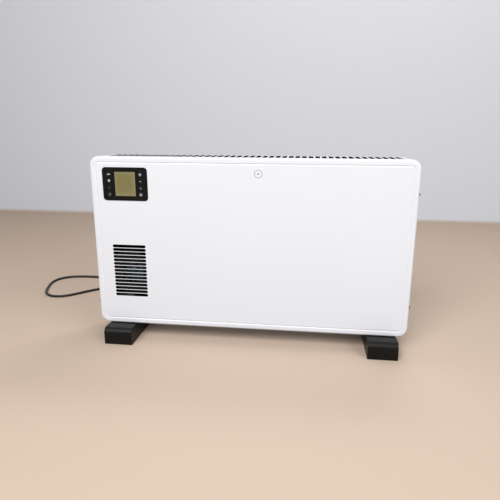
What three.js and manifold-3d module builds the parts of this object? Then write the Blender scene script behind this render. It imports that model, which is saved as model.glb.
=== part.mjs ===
// Wall panel convector heater on two feet, with a turbo blower, finned elements and an eight-key
// control panel. Millimetres, +Z up, front face towards -Y, origin on the floor under the centre.

import * as THREE from 'three';
import { mergeGeometries, mergeVertices } from 'three/addons/utils/BufferGeometryUtils.js';
import Module from 'manifold-3d';

const wasm = await Module();
wasm.setup();

// Casing
const bodyWidth = 760;
const bodyHeight = 418;
const bodyDepth = 114;
const floorClearance = 40;
const cornerRadius = 22;
const frontEdgeRound = 5.5;
const sheet = 1.2;
const fit = 0.3;
const flangeDepth = 15;
const lipWidth = 10;
const sideReturn = 6;
const lapReach = 4.5;
const grooveInset = 13;
const grooveWidth = 3;
const grooveDepth = 0.8;

// Warm-air outlet on top and inlets below and behind
const outletMargin = 38;
const outletPitch = 15.5;
const outletSlotWidth = 10.5;
const outletSlotLength = 85;
const outletSetback = 17;
const inletMargin = 115;
const inletPitch = 18;
const inletSlotWidth = 8;
const inletSlotLength = 52;
const rearSlotPitch = 14;
const rearSlotWidth = 5;
const rearSlotLength = 46;
const rearSlotsInset = 45;
const rearSlotsMargin = 70;
const rearSlotsHeight = 110;
const fanIntakeSlotCount = 8;
const keyholeSpacing = 400;
const keyholeHeight = 380;
const keyholeHeadRadius = 5;
const keyholeNeckWidth = 5;
const keyholeNeckLength = 9;

// Front grille of the blower
const grilleSideDistance = 86.2;
const grilleTopDrop = 216.1;
const grilleCount = 15;
const grillePitch = 8.9;
const grilleSlotHeight = 6.6;
const grilleWidth = 82;

// Control panel
const bezelSideDistance = 85.7;
const bezelTopDrop = 25.2;
const bezelWidth = 108.5;
const bezelHeight = 77.3;
const bezelCornerRadius = 6.5;
const bezelFace = 1.5;
const bezelLip = 2.4;
const bezelWall = 1.5;
const bezelBoxDepth = 13.3;
const displayWidth = 51.6;
const displayHeight = 58;
const moduleMargin = 3;
const moduleDepth = 7.7;
const boardThickness = 1.6;
const boardMargin = 0.6;
const bossRadius = 3;
const bossInset = 6.8;
const keyColumnOffset = 38.25;
const keyRowPitch = 15.8;
const keyFirstRow = 16.4;
const keyRadius = 6.8;
const keyFlangeRadius = 7.4;
const keyFlangeThickness = 1;
const keyProud = 0.4;
const keyTravel = 1;
const keyStemRadius = 2.4;
const switchSize = 6;
const switchHeight = 3.2;

// Side, rear and foot screws
const screwHeadRadius = 4;
const screwHeadHeight = 3;
const screwShankRadius = 2;
const screwShankLength = 9;
const screwHoleClearance = 0.4;
const sideScrewSetback = 10;
const rightScrewHeights = [74.2, 341.6];
const leftScrewHeights = [54.8];
const rearScrewInset = 5;
const rearScrewSpacing = 300;

// Feet
const footWidth = 70;
const footSideDistance = 60;
const footLength = 200;
const footRound = 13.7;
const footLipSetback = 34;
const footLipRise = 2;
const footWall = 3;
const footTopWall = 4.5;
const footRibThickness = 3;
const footScrewSpacing = 60;
const footScrewHeadRadius = 4.5;
const footScrewShankLength = 16;

// Blower
const fanStandoff = 4;
const fanPlate = 1.5;
const fanDepth = 40;
const scrollRadius = 44;
const scrollGrowth = 16;
const scrollWall = 1.5;
const scrollOutletHeight = 36;
const tongueAngle = -40;
const fanInletRadius = 31;
const impellerRadius = 38;
const impellerLength = 31;
const impellerGap = 2.5;
const bladeCount = 24;
const bladeLength = 8;
const bladeThickness = 0.9;
const bladeTiltAngle = 35;
const hubRadius = 6;
const hubLength = 14;
const shaftRadius = 2;
const shaftReach = 26;
const motorRadius = 23;
const motorLength = 34;
const motorFlangeRadius = 27;
const motorFlange = 2;
const earRadius = 5;

// Partition, power board and hot side
const coolBayWidth = 174;
const partitionFoot = 12;
const powerBoardWidth = 72;
const powerBoardHeight = 104;
const powerBoardBase = 288;
const powerBoardStandoff = 6;
const relayCount = 3;
const relayPitch = 22;
const relayWidth = 18;
const relayHeight = 28;
const relayDepth = 16;
const relayRise = 14;
const transformerWidth = 29;
const transformerDepth = 24;
const transformerRise = 56;
const transformerY = -11;
const capacitorY = 20;
const capacitorRadius = 8;
const elementLeftSpace = 32.8;
const elementRightSpace = 90.5;
const elementArm = 21;
const elementFin = 1.6;
const elementCore = 5;
const elementRodRadius = 3;
const elementRodReach = 20;
const elementLowerRise = 66;
const elementSpacing = 44;
const bracketGap = 12;
const bracketThickness = 1.5;
const bracketHalfDepth = 37.2;
const bracketHeight = 150;
const bracketFoot = 14;
const insulatorWidth = 14;
const insulatorLength = 9;
const shieldThickness = 1;
const shieldBottomRise = 18;
const shieldHeight = 268;
const shieldFlange = 6;
const cutoutRise = 220;
const cutoutRadius = 8;
const cutoutDepth = 9;
const cutoutEar = 8;

// Wiring parts and main switch
const terminalWidth = 44;
const terminalDepth = 22;
const terminalHeight = 26;
const terminalFront = -10;
const terminalFootInset = 12;
const terminalPitch = 13;
const terminalWellRadius = 3.5;
const terminalWellDepth = 4;
const tipSwitchSideDistance = 108;
const tipSwitchWidth = 28;
const tipSwitchDepth = 24;
const tipSwitchHeight = 27;
const tipSwitchEar = 4;
const mainSwitchHeight = 150;
const mainSwitchLength = 28.8;
const mainSwitchWidth = 12.6;
const mainSwitchDepth = 22;
const mainSwitchFlange = 1.2;
const mainSwitchFlangeMargin = 2.2;
const rockerHalfLength = 11.8;
const rockerWidth = 9.6;
const rockerTiltAngle = 8;
const rockerPivotDepth = 6.3;
const rockerDish = 1.4;
const rockerShoulder = 2.5;
const rockerHeel = 4;

// Mains cord
const cordDiameter = 7.5;
const cordExitSideDistance = 45;
const cordExitHeight = 80;
const reliefLength = 37;
const reliefCollarRadius = 9;
const reliefNeckRadius = 6;
const reliefNut = 5;
const reliefCollar = 2;
const reliefTipWall = 1.2;
const cordSides = 10;
const cordStepLength = 19;
const coilCentreX = -460;
const coilCentreY = 350;
const coilOuterRadius = 46;
const coilTurnPitch = 8.1;
const coilTurnsPerLayer = 1.25;
const coilClimbTurns = 0.5;
const coilStepsPerTurn = 24;
const coilSides = 6;
const coilTailLength = 62;
const tieWidth = 7;
const tieThickness = 0.8;
const plugLength = 44;
const plugRadius = 18.5;
const plugGripRadius = 11;
const plugReliefLength = 24;
const plugReliefRadius = 6;
const pinRadius = 2.4;
const pinLength = 19;
const pinSpacing = 19;
const pinPlate = 2;

// Places worked out from the sizes above
const front = -bodyDepth / 2;
const back = bodyDepth / 2;
const bottom = floorClearance;
const top = floorClearance + bodyHeight;
const middleHeight = (bottom + top) / 2;
const leftSide = -bodyWidth / 2;
const innerFront = front + sheet;
const bandInset = sheet + fit;
const bandFront = front + frontEdgeRound + sheet;
const bandBack = back - sheet - fit;
const bandTop = top - bandInset;
const bandBottom = bottom + bandInset;
const bandSide = bodyWidth / 2 - bandInset;
const floorOfCase = bandBottom + sheet + fit;
const ceilingOfCase = bandTop - sheet - fit;
const rearInside = bandBack - sheet;
const splitX = bodyWidth / 2 - cornerRadius - sideReturn;
const partitionX = leftSide + coolBayWidth;
const grilleCentreX = leftSide + grilleSideDistance;
const bezelCentreX = leftSide + bezelSideDistance;
const tipSwitchX = leftSide + tipSwitchSideDistance;
const cordExitX = leftSide + cordExitSideDistance;
const footCentreX = bodyWidth / 2 - footSideDistance;
const outletCount = Math.floor((bodyWidth - 2 * outletMargin) / outletPitch) + 1;
const inletCount = Math.floor((bodyWidth - 2 * inletMargin) / inletPitch) + 1;
const rearSlotsStart = partitionX + rearSlotsInset;
const rearSlotCount = Math.floor((bandSide - rearSlotsMargin - rearSlotsStart) / rearSlotPitch) + 1;
const rearSlotsCentreX = rearSlotsStart + ((rearSlotCount - 1) * rearSlotPitch) / 2;
const elementStart = partitionX + sheet + elementLeftSpace;
const elementLength = bandSide - elementRightSpace - elementStart;
const elementCentreX = elementStart + elementLength / 2;
const bezelCentreZ = top - bezelTopDrop - bezelHeight / 2;
const bezelFaceBack = front - fit;
const bezelFaceFront = bezelFaceBack - bezelFace;
const boardFront = bezelFaceBack + moduleDepth + 2 * fit;
const fanX = grilleCentreX;
const fanZ = top - grilleTopDrop - ((grilleCount - 1) * grillePitch) / 2;
const fanFront = innerFront + fit + fanStandoff;
const fanHousingFront = fanFront + fanPlate + fit;
const fanBack = fanFront + fanDepth;
const impellerBack = fanBack - fanPlate - impellerGap;
const scrollEnd = scrollRadius + scrollGrowth;
const scrollReach = partitionX + sheet + 2 - fanX;
const bracketX = elementLength / 2 + bracketGap;
const elementLowerZ = bottom + elementLowerRise;
const elementHeights = [elementLowerZ, elementLowerZ + elementSpacing];
const shieldBottom = bottom + shieldBottomRise;
const cordRadius = cordDiameter / 2;
const cordOnFloor = cordRadius + fit;
const reliefEnd = back + fit + reliefCollar + reliefLength;
const reliefStart = bandBack - reliefNut;
const coilBottom = 2 * fit + tieThickness;
const coilLowerZ = coilBottom + cordRadius;
const coilUpperZ = coilLowerZ + coilTurnPitch;
const plugAxisZ = plugRadius + 0.1;

// Colours and finishes
const white = { color: 0xf4f2f6, roughness: 0.38, metalness: 0 };
const whiteBack = { color: 0xe9e8ea, roughness: 0.45, metalness: 0 };
const glossBlack = { color: 0x23231f, roughness: 0.22, metalness: 0 };
const mattBlack = { color: 0x1d1b19, roughness: 0.55, metalness: 0 };
const screwBlack = { color: 0x191919, roughness: 0.4, metalness: 0.6 };
const displayOlive = { color: 0x867d53, roughness: 0.25, metalness: 0 };
const boardGreen = { color: 0x1f5a36, roughness: 0.5, metalness: 0 };
const steel = { color: 0xb8babd, roughness: 0.4, metalness: 1 };
const aluminium = { color: 0xc9cacc, roughness: 0.45, metalness: 1 };
const ceramic = { color: 0xe6e1d6, roughness: 0.7, metalness: 0 };
const tealPlastic = { color: 0x16383a, roughness: 0.5, metalness: 0 };
const brass = { color: 0xc8a860, roughness: 0.35, metalness: 1 };
const cordBlack = { color: 0x17171a, roughness: 0.5, metalness: 0 };

const heater = new THREE.Group();

// ---- Building helpers ----

function solid(geometry) {
  const bare = geometry.clone();
  bare.deleteAttribute('normal');
  bare.deleteAttribute('uv');
  const merged = mergeVertices(bare, 1e-4);
  return new wasm.Manifold(new wasm.Mesh({
    numProp: 3,
    vertProperties: new Float32Array(merged.attributes.position.array),
    triVerts: new Uint32Array(merged.index.array),
  }));
}

function geometryOf(manifold) {
  const { vertProperties, triVerts } = manifold.getMesh();
  const geometry = new THREE.BufferGeometry();
  geometry.setAttribute('position', new THREE.BufferAttribute(vertProperties, 3));
  geometry.setIndex(new THREE.BufferAttribute(triVerts, 1));
  geometry.computeVertexNormals();
  return geometry;
}

function addPart(name, shape, finish, parent = heater) {
  const geometry = shape.isBufferGeometry ? shape : geometryOf(shape);
  const part = new THREE.Mesh(geometry, new THREE.MeshStandardMaterial(finish));
  part.name = name;
  parent.add(part);
  return part;
}

// Several pieces of geometry that don't touch, as one solid.
function together(geometries) {
  return solid(mergeGeometries(geometries.map((g) => (g.index ? g.toNonIndexed() : g))));
}

function box(x0, x1, y0, y1, z0, z1) {
  const geometry = new THREE.BoxGeometry(x1 - x0, y1 - y0, z1 - z0);
  return geometry.translate((x0 + x1) / 2, (y0 + y1) / 2, (z0 + z1) / 2);
}

function rodX(y, z, radius, x0, x1, sides) {
  const geometry = new THREE.CylinderGeometry(radius, radius, x1 - x0, sides);
  return geometry.rotateZ(Math.PI / 2).translate((x0 + x1) / 2, y, z);
}

function rodY(x, z, radius, y0, y1, sides) {
  const geometry = new THREE.CylinderGeometry(radius, radius, y1 - y0, sides);
  return geometry.translate(x, (y0 + y1) / 2, z);
}

function rodZ(x, y, radius, z0, z1, sides) {
  const geometry = new THREE.CylinderGeometry(radius, radius, z1 - z0, sides);
  return geometry.rotateX(Math.PI / 2).translate(x, y, (z0 + z1) / 2);
}

// An outline drawn in X and Z, given a thickness from y0 to y1.
function plate(outline, y0, y1, curveSegments = 3) {
  const settings = { depth: y1 - y0, bevelEnabled: false, curveSegments };
  const geometry = new THREE.ExtrudeGeometry(outline, settings);
  return geometry.rotateX(Math.PI / 2).translate(0, y1, 0);
}

// An outline drawn in Y and Z, run from x0 to x1.
function bar(outline, x0, x1, curveSegments = 3) {
  const settings = { depth: x1 - x0, bevelEnabled: false, curveSegments };
  const geometry = new THREE.ExtrudeGeometry(outline, settings);
  const turn = new THREE.Matrix4().makeBasis(
    new THREE.Vector3(0, 1, 0),
    new THREE.Vector3(0, 0, 1),
    new THREE.Vector3(1, 0, 0),
  );
  return geometry.applyMatrix4(turn).translate(x0, 0, 0);
}

function roundedRect(x, z, width, height, radius) {
  const a = x - width / 2;
  const b = x + width / 2;
  const c = z - height / 2;
  const d = z + height / 2;
  const shape = new THREE.Shape();
  shape.moveTo(a + radius, c);
  shape.lineTo(b - radius, c);
  shape.absarc(b - radius, c + radius, radius, -Math.PI / 2, 0);
  shape.lineTo(b, d - radius);
  shape.absarc(b - radius, d - radius, radius, 0, Math.PI / 2);
  shape.lineTo(a + radius, d);
  shape.absarc(a + radius, d - radius, radius, Math.PI / 2, Math.PI);
  shape.lineTo(a, c + radius);
  shape.absarc(a + radius, c + radius, radius, Math.PI, 1.5 * Math.PI);
  shape.closePath();
  return shape;
}

function rectangle(x, z, width, height) {
  return polygon([
    [x - width / 2, z - height / 2],
    [x + width / 2, z - height / 2],
    [x + width / 2, z + height / 2],
    [x - width / 2, z + height / 2],
  ]);
}

function polygon(points) {
  return new THREE.Shape(points.map(([x, z]) => new THREE.Vector2(x, z)));
}

function circle(x, z, radius) {
  const shape = new THREE.Shape();
  shape.absarc(x, z, radius, 0, 2 * Math.PI);
  return shape;
}

// A slot with round ends, lying along X.
function roundSlot(x, z, length, height) {
  const radius = height / 2;
  const reach = length / 2 - radius;
  const shape = new THREE.Shape();
  shape.moveTo(x - reach, z - radius);
  shape.lineTo(x + reach, z - radius);
  shape.absarc(x + reach, z, radius, -Math.PI / 2, Math.PI / 2);
  shape.lineTo(x - reach, z + radius);
  shape.absarc(x - reach, z, radius, Math.PI / 2, 1.5 * Math.PI);
  shape.closePath();
  return shape;
}

// Centres of a row of equal things, spread evenly about a middle.
function row(count, pitch, middle) {
  return Array.from({ length: count }, (_, i) => middle + (i - (count - 1) / 2) * pitch);
}

// ---- Casing ----

// The body's outline, drawn in by some distance all round.
function bodyOutline(inset) {
  return roundedRect(0, middleHeight, bodyWidth - 2 * inset, bodyHeight - 2 * inset, cornerRadius - inset);
}

// A block with the body's outline whose front edge is rounded, cut off square at yEnd.
function roundedBlock(inset, yStart, yEnd, edge) {
  const settings = {
    depth: flangeDepth,
    bevelEnabled: true,
    bevelThickness: edge,
    bevelSize: edge,
    bevelOffset: -edge,
    bevelSegments: 3,
    curveSegments: 3,
  };
  const geometry = new THREE.ExtrudeGeometry(bodyOutline(inset), settings);
  geometry.rotateX(Math.PI / 2).translate(0, yStart + flangeDepth + edge, 0);
  const beyond = box(-bodyWidth, bodyWidth, yEnd, yEnd + bodyWidth, -bodyHeight, 2 * bodyHeight);
  return solid(geometry).subtract(solid(beyond));
}

function grooveRing(spread, y0, y1) {
  const outline = bodyOutline(grooveInset - spread);
  outline.holes.push(bodyOutline(grooveInset + grooveWidth + spread));
  return solid(plate(outline, y0, y1));
}

function grilleSlots() {
  const middle = top - grilleTopDrop - ((grilleCount - 1) * grillePitch) / 2;
  return row(grilleCount, grillePitch, middle).map((z) => (
    plate(roundSlot(grilleCentreX, z, grilleWidth, grilleSlotHeight), front - 1, innerFront + 1, 2)
  ));
}

function sideScrewHole(side, height) {
  const radius = screwShankRadius + screwHoleClearance;
  const reach = bodyWidth / 2 + 1;
  const x0 = side > 0 ? reach - 2 * lipWidth : -reach;
  return rodX(front + sideScrewSetback, bottom + height, radius, x0, x0 + 2 * lipWidth, 10);
}

function sideScrewHoles() {
  return [
    ...rightScrewHeights.map((height) => sideScrewHole(1, height)),
    ...leftScrewHeights.map((height) => sideScrewHole(-1, height)),
  ];
}

function frontPanel() {
  const window = roundedRect(
    bezelCentreX,
    bezelCentreZ,
    bezelWidth - 2 * bezelLip + 2 * fit,
    bezelHeight - 2 * bezelLip + 2 * fit,
    bezelCornerRadius - bezelLip + fit,
  );
  const tray = roundedBlock(0, front, front + flangeDepth, frontEdgeRound)
    .subtract(roundedBlock(sheet, innerFront, front + flangeDepth + 1, frontEdgeRound - sheet));
  return tray
    .add(grooveRing(sheet, innerFront - sheet / 2, innerFront + grooveDepth))
    .subtract(grooveRing(0, front - 1, front + grooveDepth))
    .subtract(solid(plate(window, front - 1, innerFront + 1)))
    .subtract(together([...grilleSlots(), ...sideScrewHoles()]));
}

// The wall round the body behind the front panel, with a lip at the back.
function casingBand() {
  const wall = bodyOutline(bandInset);
  wall.holes.push(bodyOutline(bandInset + sheet));
  const lip = bodyOutline(bandInset);
  lip.holes.push(bodyOutline(bandInset + lipWidth));
  return solid(plate(wall, bandFront, bandBack))
    .add(solid(plate(lip, rearInside, bandBack)));
}

function rearScrewPlaces() {
  const x = bandSide - rearScrewInset;
  return [-1, 1].flatMap((side) => (
    row(2, rearScrewSpacing, middleHeight).map((height) => [side * x, height])
  ));
}

function rearScrewHoles() {
  const radius = screwShankRadius + screwHoleClearance;
  return rearScrewPlaces().map(([x, z]) => rodY(x, z, radius, rearInside - 1, back + 1, 8));
}

function bandSection(x0, x1, z0, z1) {
  return casingBand().intersect(solid(box(x0, x1, front, back, z0, z1)));
}

function sidePanel(side) {
  const x0 = side > 0 ? splitX : -bodyWidth;
  const panel = bandSection(x0, x0 + bodyWidth - (side > 0 ? 0 : splitX), 0, 2 * top);
  const cuts = [...sideScrewHoles(), ...rearScrewHoles()];
  if (side < 0) cuts.push(mainSwitchCutout());
  return panel.subtract(together(cuts));
}

// A tab at each end of a flat band piece that laps under the side panel's return.
function lapTabs(outerZ, inward) {
  const step = sheet + fit;
  const z = [outerZ, outerZ + inward * step, outerZ + inward * (step + sheet)];
  const end = splitX - fit;
  return [-1, 1].flatMap((side) => {
    const joggle = [end - lapReach, end].map((x) => side * x).sort((a, b) => a - b);
    const tab = [end - lapReach, splitX + lapReach].map((x) => side * x).sort((a, b) => a - b);
    const full = [z[0], z[2]].sort((a, b) => a - b);
    const low = [z[1], z[2]].sort((a, b) => a - b);
    const y0 = bandFront + lipWidth;
    const y1 = rearInside - lipWidth;
    return [solid(box(...joggle, y0, y1, ...full)), solid(box(...tab, y0, y1, ...low))];
  });
}

function topGrille() {
  const y0 = front + outletSetback;
  const slots = row(outletCount, outletPitch, 0).map((x) => box(
    x - outletSlotWidth / 2,
    x + outletSlotWidth / 2,
    y0,
    y0 + outletSlotLength,
    bandTop - 2 * sheet,
    bandTop + 1,
  ));
  return lapTabs(bandTop, -1)
    .reduce((all, tab) => all.add(tab), bandSection(fit - splitX, splitX - fit, middleHeight, 2 * top))
    .subtract(together([...slots, ...rearScrewHoles()]));
}

function bottomPlate() {
  const slots = row(inletCount, inletPitch, 0).map((x) => box(
    x - inletSlotWidth / 2,
    x + inletSlotWidth / 2,
    -inletSlotLength / 2,
    inletSlotLength / 2,
    bandBottom - 1,
    bandBottom + 2 * sheet,
  ));
  const screwHoles = [-1, 1].flatMap((side) => footScrewPlaces(side).map(([x, y]) => (
    rodZ(x, y, screwShankRadius + screwHoleClearance, bandBottom - 1, bandBottom + 2 * sheet, 10)
  )));
  return lapTabs(bandBottom, 1)
    .reduce((all, tab) => all.add(tab), bandSection(fit - splitX, splitX - fit, 0, middleHeight))
    .subtract(together([...slots, ...screwHoles, ...rearScrewHoles()]));
}

function keyhole(x) {
  const neck = keyholeNeckWidth / 2;
  const drop = Math.sqrt(keyholeHeadRadius ** 2 - neck ** 2);
  const start = Math.atan2(drop, neck);
  const shape = new THREE.Shape();
  shape.moveTo(x + neck, keyholeHeight + drop);
  shape.lineTo(x + neck, keyholeHeight + keyholeNeckLength);
  shape.absarc(x, keyholeHeight + keyholeNeckLength, neck, 0, Math.PI);
  shape.lineTo(x - neck, keyholeHeight + drop);
  shape.absarc(x, keyholeHeight, keyholeHeadRadius, Math.PI - start, 2 * Math.PI + start);
  shape.closePath();
  return shape;
}

function rearPanel() {
  const y0 = rearInside;
  const y1 = back + 1;
  const cut = (outline) => plate(outline, y0, y1);
  const slots = row(rearSlotCount, rearSlotPitch, rearSlotsCentreX).map((x) => (
    cut(rectangle(x, rearSlotsHeight, rearSlotWidth, rearSlotLength))
  ));
  const fanIntakes = row(fanIntakeSlotCount, rearSlotPitch, fanZ).map((z) => (
    cut(rectangle(fanX, z, grilleWidth, rearSlotWidth))
  ));
  const keyholes = row(2, keyholeSpacing, 0).map((x) => cut(keyhole(x)));
  const cordHole = rodY(cordExitX, cordExitHeight, reliefNeckRadius + fit, y0, y1, 16);
  return solid(plate(bodyOutline(bandInset), bandBack + fit, back))
    .subtract(together([...slots, ...fanIntakes, ...keyholes, cordHole, ...rearScrewHoles()]));
}

// ---- Screws ----

// A pan-head screw along +Y, its head's underside at the origin and its head towards -Y.
function panScrew(headRadius, headHeight, shankLength) {
  const profile = [
    [0, -headHeight],
    [headRadius * 0.6, -headHeight],
    [headRadius * 0.95, -headHeight * 0.6],
    [headRadius, 0],
    [screwShankRadius, 0],
    [screwShankRadius, shankLength],
    [0, shankLength],
  ];
  return new THREE.LatheGeometry(profile.map(([x, y]) => new THREE.Vector2(x, y)), 10);
}

function sideScrew(side, height) {
  return panScrew(screwHeadRadius, screwHeadHeight, screwShankLength)
    .rotateZ((side * Math.PI) / 2)
    .translate(side * (bodyWidth / 2 + fit), front + sideScrewSetback, bottom + height);
}

function rearScrew(x, z) {
  return panScrew(screwHeadRadius, screwHeadHeight, screwShankLength)
    .rotateZ(Math.PI)
    .translate(x, back + fit, z);
}

// ---- Control panel ----

function keyPlaces() {
  const first = bezelCentreZ + bezelHeight / 2 - keyFirstRow;
  return [-1, 1].map((side) => (
    Array.from({ length: 4 }, (_, i) => [bezelCentreX + side * keyColumnOffset, first - i * keyRowPitch])
  ));
}

function bossPlaces() {
  return [-1, 1].flatMap((side) => [-1, 1].map((end) => [
    bezelCentreX + side * (bezelWidth / 2 - bossInset),
    bezelCentreZ + end * (bezelHeight / 2 - bossInset),
  ]));
}

function controlBezel() {
  const width = bezelWidth - 2 * bezelLip;
  const height = bezelHeight - 2 * bezelLip;
  const radius = bezelCornerRadius - bezelLip;
  const face = roundedRect(bezelCentreX, bezelCentreZ, bezelWidth, bezelHeight, bezelCornerRadius);
  const tube = roundedRect(bezelCentreX, bezelCentreZ, width, height, radius);
  tube.holes.push(roundedRect(
    bezelCentreX,
    bezelCentreZ,
    width - 2 * bezelWall,
    height - 2 * bezelWall,
    radius - bezelWall / 2,
  ));
  const display = rectangle(bezelCentreX, bezelCentreZ, displayWidth, displayHeight);
  const keyHoles = keyPlaces().flat().map(([x, z]) => (
    rodY(x, z, keyRadius + fit, bezelFaceFront - 1, bezelFaceBack + 1, 20)
  ));
  const bosses = bossPlaces().map(([x, z]) => (
    rodY(x, z, bossRadius, bezelFaceBack - bezelFace / 2, boardFront - fit, 8)
  ));
  return solid(plate(face, bezelFaceFront, bezelFaceBack))
    .add(solid(plate(tube, bezelFaceBack - bezelFace / 2, bezelFaceBack + bezelBoxDepth)))
    .add(together(bosses))
    .subtract(together([plate(display, bezelFaceFront - 1, bezelFaceBack + 1), ...keyHoles]));
}

function displayLens() {
  const outline = rectangle(bezelCentreX, bezelCentreZ, displayWidth - 2 * fit, displayHeight - 2 * fit);
  return solid(plate(outline, bezelFaceFront + fit, bezelFaceBack));
}

function displayModule() {
  const width = displayWidth + 2 * moduleMargin;
  const height = displayHeight + 2 * moduleMargin;
  const outline = rectangle(bezelCentreX, bezelCentreZ, width, height);
  return solid(plate(outline, bezelFaceBack + fit, bezelFaceBack + fit + moduleDepth));
}

function controlKey(x, z) {
  const flangeFront = bezelFaceBack + fit;
  const stemEnd = boardFront - switchHeight - keyTravel - fit;
  return solid(rodY(x, z, keyRadius, bezelFaceFront - keyProud, flangeFront + fit, 20))
    .add(solid(rodY(x, z, keyFlangeRadius, flangeFront, flangeFront + keyFlangeThickness, 20)))
    .add(solid(rodY(x, z, keyStemRadius, flangeFront, stemEnd, 8)));
}

function controlBoard() {
  const width = bezelWidth - 2 * (bezelLip + bezelWall + boardMargin);
  const height = bezelHeight - 2 * (bezelLip + bezelWall + boardMargin);
  const outline = roundedRect(bezelCentreX, bezelCentreZ, width, height, bezelCornerRadius - bezelLip);
  const switches = keyPlaces().flat().map(([x, z]) => box(
    x - switchSize / 2,
    x + switchSize / 2,
    boardFront - switchHeight,
    boardFront + boardThickness / 2,
    z - switchSize / 2,
    z + switchSize / 2,
  ));
  return solid(plate(outline, boardFront, boardFront + boardThickness)).add(together(switches));
}

// ---- Blower ----

// The blower's scroll, drawn in by a wall, with its outlet towards +X at the bottom.
function scrollOutline(inset, reach) {
  const shape = new THREE.Shape();
  const start = THREE.MathUtils.degToRad(tongueAngle) - (2.4 * inset) / scrollRadius;
  const end = 1.5 * Math.PI;
  const steps = 22;
  for (let i = 0; i <= steps; i += 1) {
    const angle = start + ((end - start) * i) / steps;
    const radius = scrollRadius - inset + (scrollGrowth * i) / steps;
    const point = [fanX + radius * Math.cos(angle), fanZ + radius * Math.sin(angle)];
    if (i === 0) shape.moveTo(...point);
    else shape.lineTo(...point);
  }
  shape.lineTo(fanX + reach, fanZ - scrollEnd + inset);
  shape.lineTo(fanX + reach, fanZ - scrollEnd + scrollOutletHeight - inset);
  shape.closePath();
  return shape;
}

// Where the blower's cover stands on the front panel.
function fanPosts() {
  return [
    [fanX - scrollRadius - 2 * earRadius, fanZ],
    [fanX + scrollRadius + earRadius, fanZ + 0.75 * scrollRadius],
    [fanX + scrollEnd, fanZ - scrollEnd + scrollOutletHeight / 2],
  ];
}

function fanCover() {
  const posts = fanPosts().map(([x, z]) => (
    rodY(x, z, earRadius, innerFront + fit, fanFront + fanPlate, 10)
  ));
  const ears = fanPosts().slice(0, 2).map(([x, z]) => box(
    Math.min(x, fanX),
    Math.max(x, fanX),
    fanFront,
    fanFront + fanPlate,
    z - earRadius,
    z + earRadius,
  ));
  return solid(plate(scrollOutline(0, scrollReach), fanFront, fanFront + fanPlate))
    .add(solid(ears[0]))
    .add(solid(ears[1]))
    .add(together(posts))
    .subtract(solid(rodY(fanX, fanZ, fanInletRadius, fanFront - 1, fanFront + fanPlate + 1, 28)));
}

function fanHousing() {
  const inside = plate(scrollOutline(scrollWall, scrollReach + 1), fanHousingFront - 1, fanBack - fanPlate);
  return solid(plate(scrollOutline(0, scrollReach), fanHousingFront, fanBack))
    .subtract(solid(inside))
    .subtract(solid(rodY(fanX, fanZ, hubRadius + 2, fanBack - 2 * fanPlate, fanBack + 1, 16)));
}

function fanImpeller() {
  const blades = row(bladeCount, 1, 0).map((i) => {
    const blade = new THREE.BoxGeometry(bladeLength, impellerLength - fanPlate, bladeThickness);
    blade.rotateY(THREE.MathUtils.degToRad(bladeTiltAngle));
    blade.translate(impellerRadius - bladeLength / 2, impellerBack - (impellerLength + fanPlate) / 2, 0);
    return blade.rotateY((2 * Math.PI * i) / bladeCount).translate(fanX, 0, fanZ);
  });
  const ring = circle(fanX, fanZ, impellerRadius);
  ring.holes.push(circle(fanX, fanZ, impellerRadius - bladeLength / 2));
  const ringFront = impellerBack - impellerLength;
  return together(blades)
    .add(solid(plate(ring, ringFront, ringFront + fanPlate, 14)))
    .add(solid(rodY(fanX, fanZ, impellerRadius, impellerBack - fanPlate, impellerBack, 28)))
    .add(solid(rodY(fanX, fanZ, hubRadius, impellerBack - hubLength, impellerBack, 12)))
    .subtract(solid(rodY(fanX, fanZ, shaftRadius + fit, impellerBack - 2 * hubLength, back, 12)));
}

function fanShaft() {
  const start = impellerBack - hubLength + fit;
  return solid(rodY(fanX, fanZ, shaftRadius, start, fanBack + shaftReach, 12));
}

function fanMotor() {
  const start = fanBack + fit;
  return solid(rodY(fanX, fanZ, motorFlangeRadius, start, start + motorFlange, 20))
    .add(solid(rodY(fanX, fanZ, motorRadius, start, start + motorLength, 20)))
    .subtract(solid(rodY(fanX, fanZ, shaftRadius + fit, start - 1, fanBack + shaftReach + fit, 12)));
}

// ---- Inside ----

// The sheet between the cool side and the hot side, notched where the casing's lips pass.
function partitionPlate() {
  const x0 = partitionX;
  const x1 = partitionX + sheet;
  const y0 = bandFront + fit;
  const y1 = rearInside - fit;
  const notchY = rearInside - lipWidth;
  const windowBottom = fanZ - scrollEnd - fit;
  const windowTop = windowBottom + scrollOutletHeight + 2 * fit;
  const cuts = [
    box(x0 - 1, x1 + 1, notchY, back, bottom, bandBottom + lipWidth + fit),
    box(x0 - 1, x1 + 1, notchY, back, bandTop - lipWidth - fit, top),
    box(x0 - 1, x1 + 1, fanFront - fit, fanBack + fit, windowBottom, windowTop),
  ];
  return solid(box(x0, x1, y0, y1, floorOfCase, ceilingOfCase))
    .subtract(together(cuts))
    .add(solid(box(x0 - partitionFoot, x1, y0, notchY, floorOfCase, floorOfCase + sheet)));
}

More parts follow.
